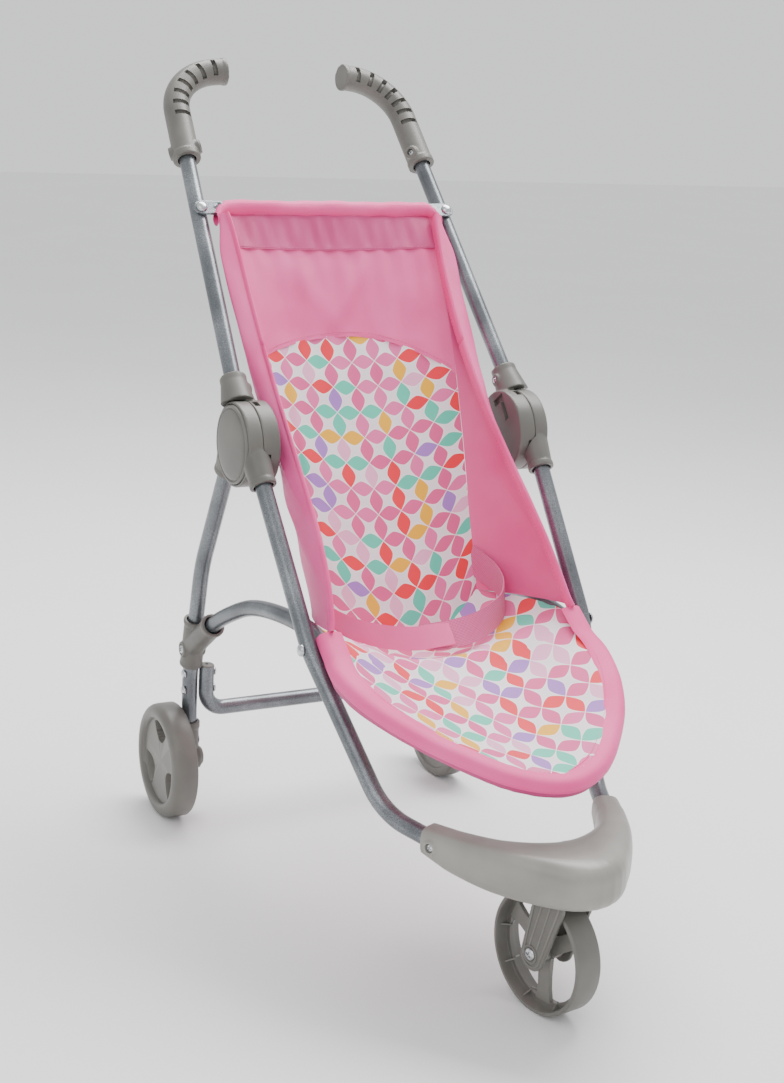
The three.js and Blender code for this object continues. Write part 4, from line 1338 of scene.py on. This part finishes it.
def seat_flat(u, v):
    y = -163 + (SEAT_TIP_Y + 163) * math.sin(v * math.pi / 2)
    half = smooth_table(WING_FOOT_X, y, 6) if y > -262 else max(loop_half_at(y) - INSET, 0)
    return u * half + 5, (y + 163) * 0.74 - 380


cloth("seat_printed", (84, 96), lambda a, b: seat_point(a * 2 - 1, b),
      lambda a, b: seat_flat(a * 2 - 1, b), PRINT, "frame", "print_cloth", ["seat_panel"],
      crumple=1.2)

# %% [markdown]
# ## Bound edges
#
# An edge is bound with a tape of the same pink, folded over and stitched. A strip follows a path;
# its section is a few points in the directions out and up.

# %% Strips along a path
def strip(name, path, outs, section, coat, rides, slot, crumple=0.0, swell=None):
    count = len(path)
    runs = [(path[min(i + 1, count - 1)] - path[max(i - 1, 0)]).normalized() for i in range(count)]
    girth = sum(math.dist(a, b) for a, b in zip(section, section[1:]))
    length = run_length(path) * 1000

    def at(a, b):
        i = min(int(b * (count - 1)), count - 2)
        t = b * (count - 1) - i
        point = path[i].lerp(path[i + 1], t)
        out = outs[i].lerp(outs[i + 1], t).normalized()
        high = out.cross(runs[i].lerp(runs[i + 1], t)).normalized()
        if high.z < 0:
            high.negate()
        k = min(int(a * (len(section) - 1)), len(section) - 2)
        share = a * (len(section) - 1) - k
        o = section[k][0] + (section[k + 1][0] - section[k][0]) * share
        h = section[k][1] + (section[k + 1][1] - section[k][1]) * share
        if swell:
            o, h = swell(o, h, a, b)
        return point + out * o * MM + high * h * MM
    return cloth(name, ((len(section) - 1) * 2, count), at, lambda a, b: (a * girth, b * length),
                 coat, rides, slot, crumple=crumple)


def outward_of(path):
    """Level directions that point away from the seat's middle, square to the path."""
    found = []
    for i, point in enumerate(path):
        run = path[min(i + 1, len(path) - 1)] - path[max(i - 1, 0)]
        out = Vector((run.y, -run.x, 0)).normalized()
        centre = mm(0, -300, 0)
        if out.dot(point - centre) < 0:
            out.negate()
        found.append(out)
    return found


def lifted(path, offset):
    return [point + Vector((0, 0, offset(i / (len(path) - 1)) * MM)) for i, point in enumerate(path)]


rear_left, rear_right = mm(110.5, -256, 243), mm(-110.5, -256, 243)
edge_path = evenly([rear_left] + loop_line[8:-8] + [rear_right], 170)
edge_path = lifted(edge_path, lambda t: 5 * max(0, 1 - min(t, 1 - t) * 14) ** 1.2)
edge_out = outward_of(edge_path)
strip(
    "seat_binding", edge_path, edge_out,
    [(-10, 5.4), (-7, 6.8), (-3, 7.6), (1, 7.9), (5, 7.3), (7.8, 5.4), (9.2, 2.6), (9.6, -0.6),
     (8.8, -2.6)],
    BINDING, "frame", "pink_nylon", crumple=0.5)


def sleeve_swell(o, h, a, b):
    side = min(b, 1 - b)
    hang = 8.5 * math.exp(-((side - 0.11) / 0.09) ** 2)
    folds = 0.9 * math.sin(b * 210 + 3 * math.sin(b * 31)) * math.sin(math.pi * a)
    return o + folds * 0.6 + 0.12 * hang * a, h - hang * a ** 1.3 + folds * 0.4


sleeve_path = evenly([mm(110.4, -250, 242)] + loop_line[6:-6] + [mm(-110.4, -250, 242)], 200)
strip(
    "seat_sleeve", sleeve_path, outward_of(sleeve_path),
    [(7.4, 3.6), (8.2, 0.5), (7.8, -3.2), (5.8, -6.2), (2.6, -7.8), (-1.5, -8.0), (-5.2, -6.6),
     (-7.8, -3.2), (-8.4, 1.5), (-7.8, 4.6)],
    PINK_DEEP, "frame", "pink_nylon", crumple=0.6, swell=sleeve_swell)

# %% Wing bindings
WING_OUT = Vector((0, -0.75, 0.66))
for word, s in SIDES:
    path = evenly([wing_front(s, i / 60) for i in range(61)], 120)
    outs = [WING_OUT] * len(path)
    tape = strip(f"wing_binding_{word}", path, outs,
                 [(-6.5, -1.2), (-2, -1.5), (1.2, -1.3), (2.2, 0), (1.2, 1.3), (-2, 1.5), (-6.5, 1.2)],
                 BINDING, None, "pink_nylon", crumple=0.25)
    bend_with_handle(tape)

# %% [markdown]
# ## The lap belt
#
# Two straps are sewn into the seams beside the crease and meet in front, where they are held by a
# patch of hook and loop. The left one is woven webbing, the right one doubled taffeta. Each is a
# ribbon: a centre line, and at each point the direction of its width.

# %% Ribbons
def ribbon(name, centre, tilt, width, coat, slot, stands_for, thick=1.3):
    path = threaded([mm(*point) for point in centre], 90)
    tilts = evenly([Vector(t) for t in tilt], 90)
    length = run_length(path) * 1000

    def at(a, b):
        i = min(int(b * 89), 88)
        t = b * 89 - i
        wide = tilts[i].lerp(tilts[i + 1], t).normalized()
        return path[i].lerp(path[i + 1], t) + wide * (a - 0.5) * width * MM
    return cloth(name, (18, 110), at, lambda a, b: (a * width, b * length), coat, "frame", slot, stands_for,
                 thick=thick)


ribbon("belt_left", [
    (75, -150, 268), (81, -166, 262), (84, -182, 257), (83, -196, 251), (74, -210, 243), (58, -220, 237),
    (38, -226, 232), (16, -228, 229.5), (-8, -227, 228.5)],
    [(0.28, 0.1, 1), (0.1, 0.1, 1), (-0.05, 0.15, 1), (0.1, 0.3, 1), (0.1, 0.5, 1), (0, 0.65, 0.9),
     (0, 0.75, 0.8),
     (0, 0.8, 0.75), (0, 0.8, 0.75)], 24, WEBBING, "pink_webbing", ["belt_strap_left"])
ribbon("belt_right", [
    (-79, -158, 256), (-84, -172, 251), (-83, -188, 246), (-76, -202, 241), (-60, -214, 235),
    (-40, -222, 230.5),
    (-16, -229, 229.3), (4, -230.4, 230.4), (15, -230.6, 230.8)],
    [(-0.1, 0.1, 1), (0, 0.1, 1), (0.05, 0.2, 1), (-0.1, 0.4, 1), (0, 0.5, 1), (0, 0.7, 0.85),
     (0, 0.8, 0.75),
     (0, 0.8, 0.75), (0, 0.8, 0.75)], 20, PINK, "pink_webbing", ["belt_strap_right"], thick=1.6)

# %% [markdown]
# ## Stitches
#
# A seam without stitches looks glued. Each stitch is a short thin rod of thread, a few
# millimetres from the next, lying on the cloth.

# %% Rows of stitches
def stitches(name, rows, rides, spacing=3.4, long=2.1, radius=0.28):
    shape = bmesh.new()
    for row in rows:
        length = run_length(row) * 1000
        spots = evenly(row, max(int(length / spacing), 2))
        for here, there in zip(spots, spots[1:]):
            if (there - here).length * 1000 > spacing * 0.5:
                rod(shape, here, toward(here, there, long), radius, sides=6)
    piece = place(name, mesh_from(shape, close=False), THREAD, rides, "pink_nylon")
    if rides is None:
        bend_with_handle(piece)
    return piece


seat_row = [point - out * 6 * MM + Z * 7.5 * MM for point, out in zip(edge_path, edge_out)][4:-4]
stitches("stitches_seat", [seat_row], "frame")
hem_row = [hem_band(0.02 + 0.96 * i / 80, 0.95) + BAR_OUT * 0.7 * MM for i in range(81)]
stitches("stitches_hem", [hem_row], "handle")
arch_row = [back_point(u, arch_share(u) - 0.006, 1.4) for u in (x / 40 for x in range(-39, 40))]
stitches("stitches_arch", [arch_row], None)
for word, s in SIDES:
    rows = []
    for side in (-1, 1):
        shift = (X * side * 1.8 - WING_OUT * 4.6) * MM
        rows.append([wing_front(s, i / 60) + shift for i in range(3, 60)])
    stitches(f"stitches_wing_{word}", rows, None)

# %% [markdown]
# The pins, springs, axles and lock rings inside the hubs and wheels keep their plain shapes and
# only get their real materials.

# %% Inner parts
for word, s in SIDES:
    for part, coat in (("rear_axle", ZINC), ("hub_pin", ZINC), ("hub_spring", ZINC), ("lock_gear", ABS)):
        inner = bpy.data.objects.get(f"{part}_{word}")
        if inner:
            for holder in inner.material_slots:
                holder.material = coat
for holder in bpy.data.objects["swivel_pin"].material_slots:
    holder.material = ZINC

# %% [markdown]
# ## Floor and light
#
# The stroller stands on pale paper in a bright room: a broad light overhead and behind gives the
# tubes their long highlights, a weaker one from the front left fills the shadows.

# %% Floor, world and lights
shape = bmesh.new()
bmesh.ops.create_grid(shape, x_segments=1, y_segments=1, size=8)
floor_mesh = mesh_from(shape, "floor")
floor = bpy.data.objects.new("floor", floor_mesh)
floor_mesh.materials.append(studio_paper())
bpy.context.scene.collection.objects.link(floor)

world = bpy.data.worlds.new("studio")
bpy.context.scene.world = world
world.use_nodes = True
world.node_tree.nodes["Background"].inputs["Color"].default_value = colour("#f7f8fa")
world.node_tree.nodes["Background"].inputs["Strength"].default_value = 1.1


def lamp(name, at, target, size, watts, tint="#ffffff"):
    light = bpy.data.lights.new(name, "AREA")
    light.shape = "RECTANGLE"
    light.size, light.size_y = size
    light.energy = watts
    light.color = colour(tint)[:3]
    holder = bpy.data.objects.new(name, light)
    turn = (at - target).to_track_quat("Z", "Y").to_matrix().to_4x4()
    holder.matrix_world = Matrix.Translation(at) @ turn
    bpy.context.scene.collection.objects.link(holder)


target = mm(0, -150, 300)
lamp("overhead", mm(500, 300, 1700), target, (1.6, 0.8), 48)
lamp("front_fill", mm(-1300, -1500, 1300), target, (1.4, 1.4), 9)
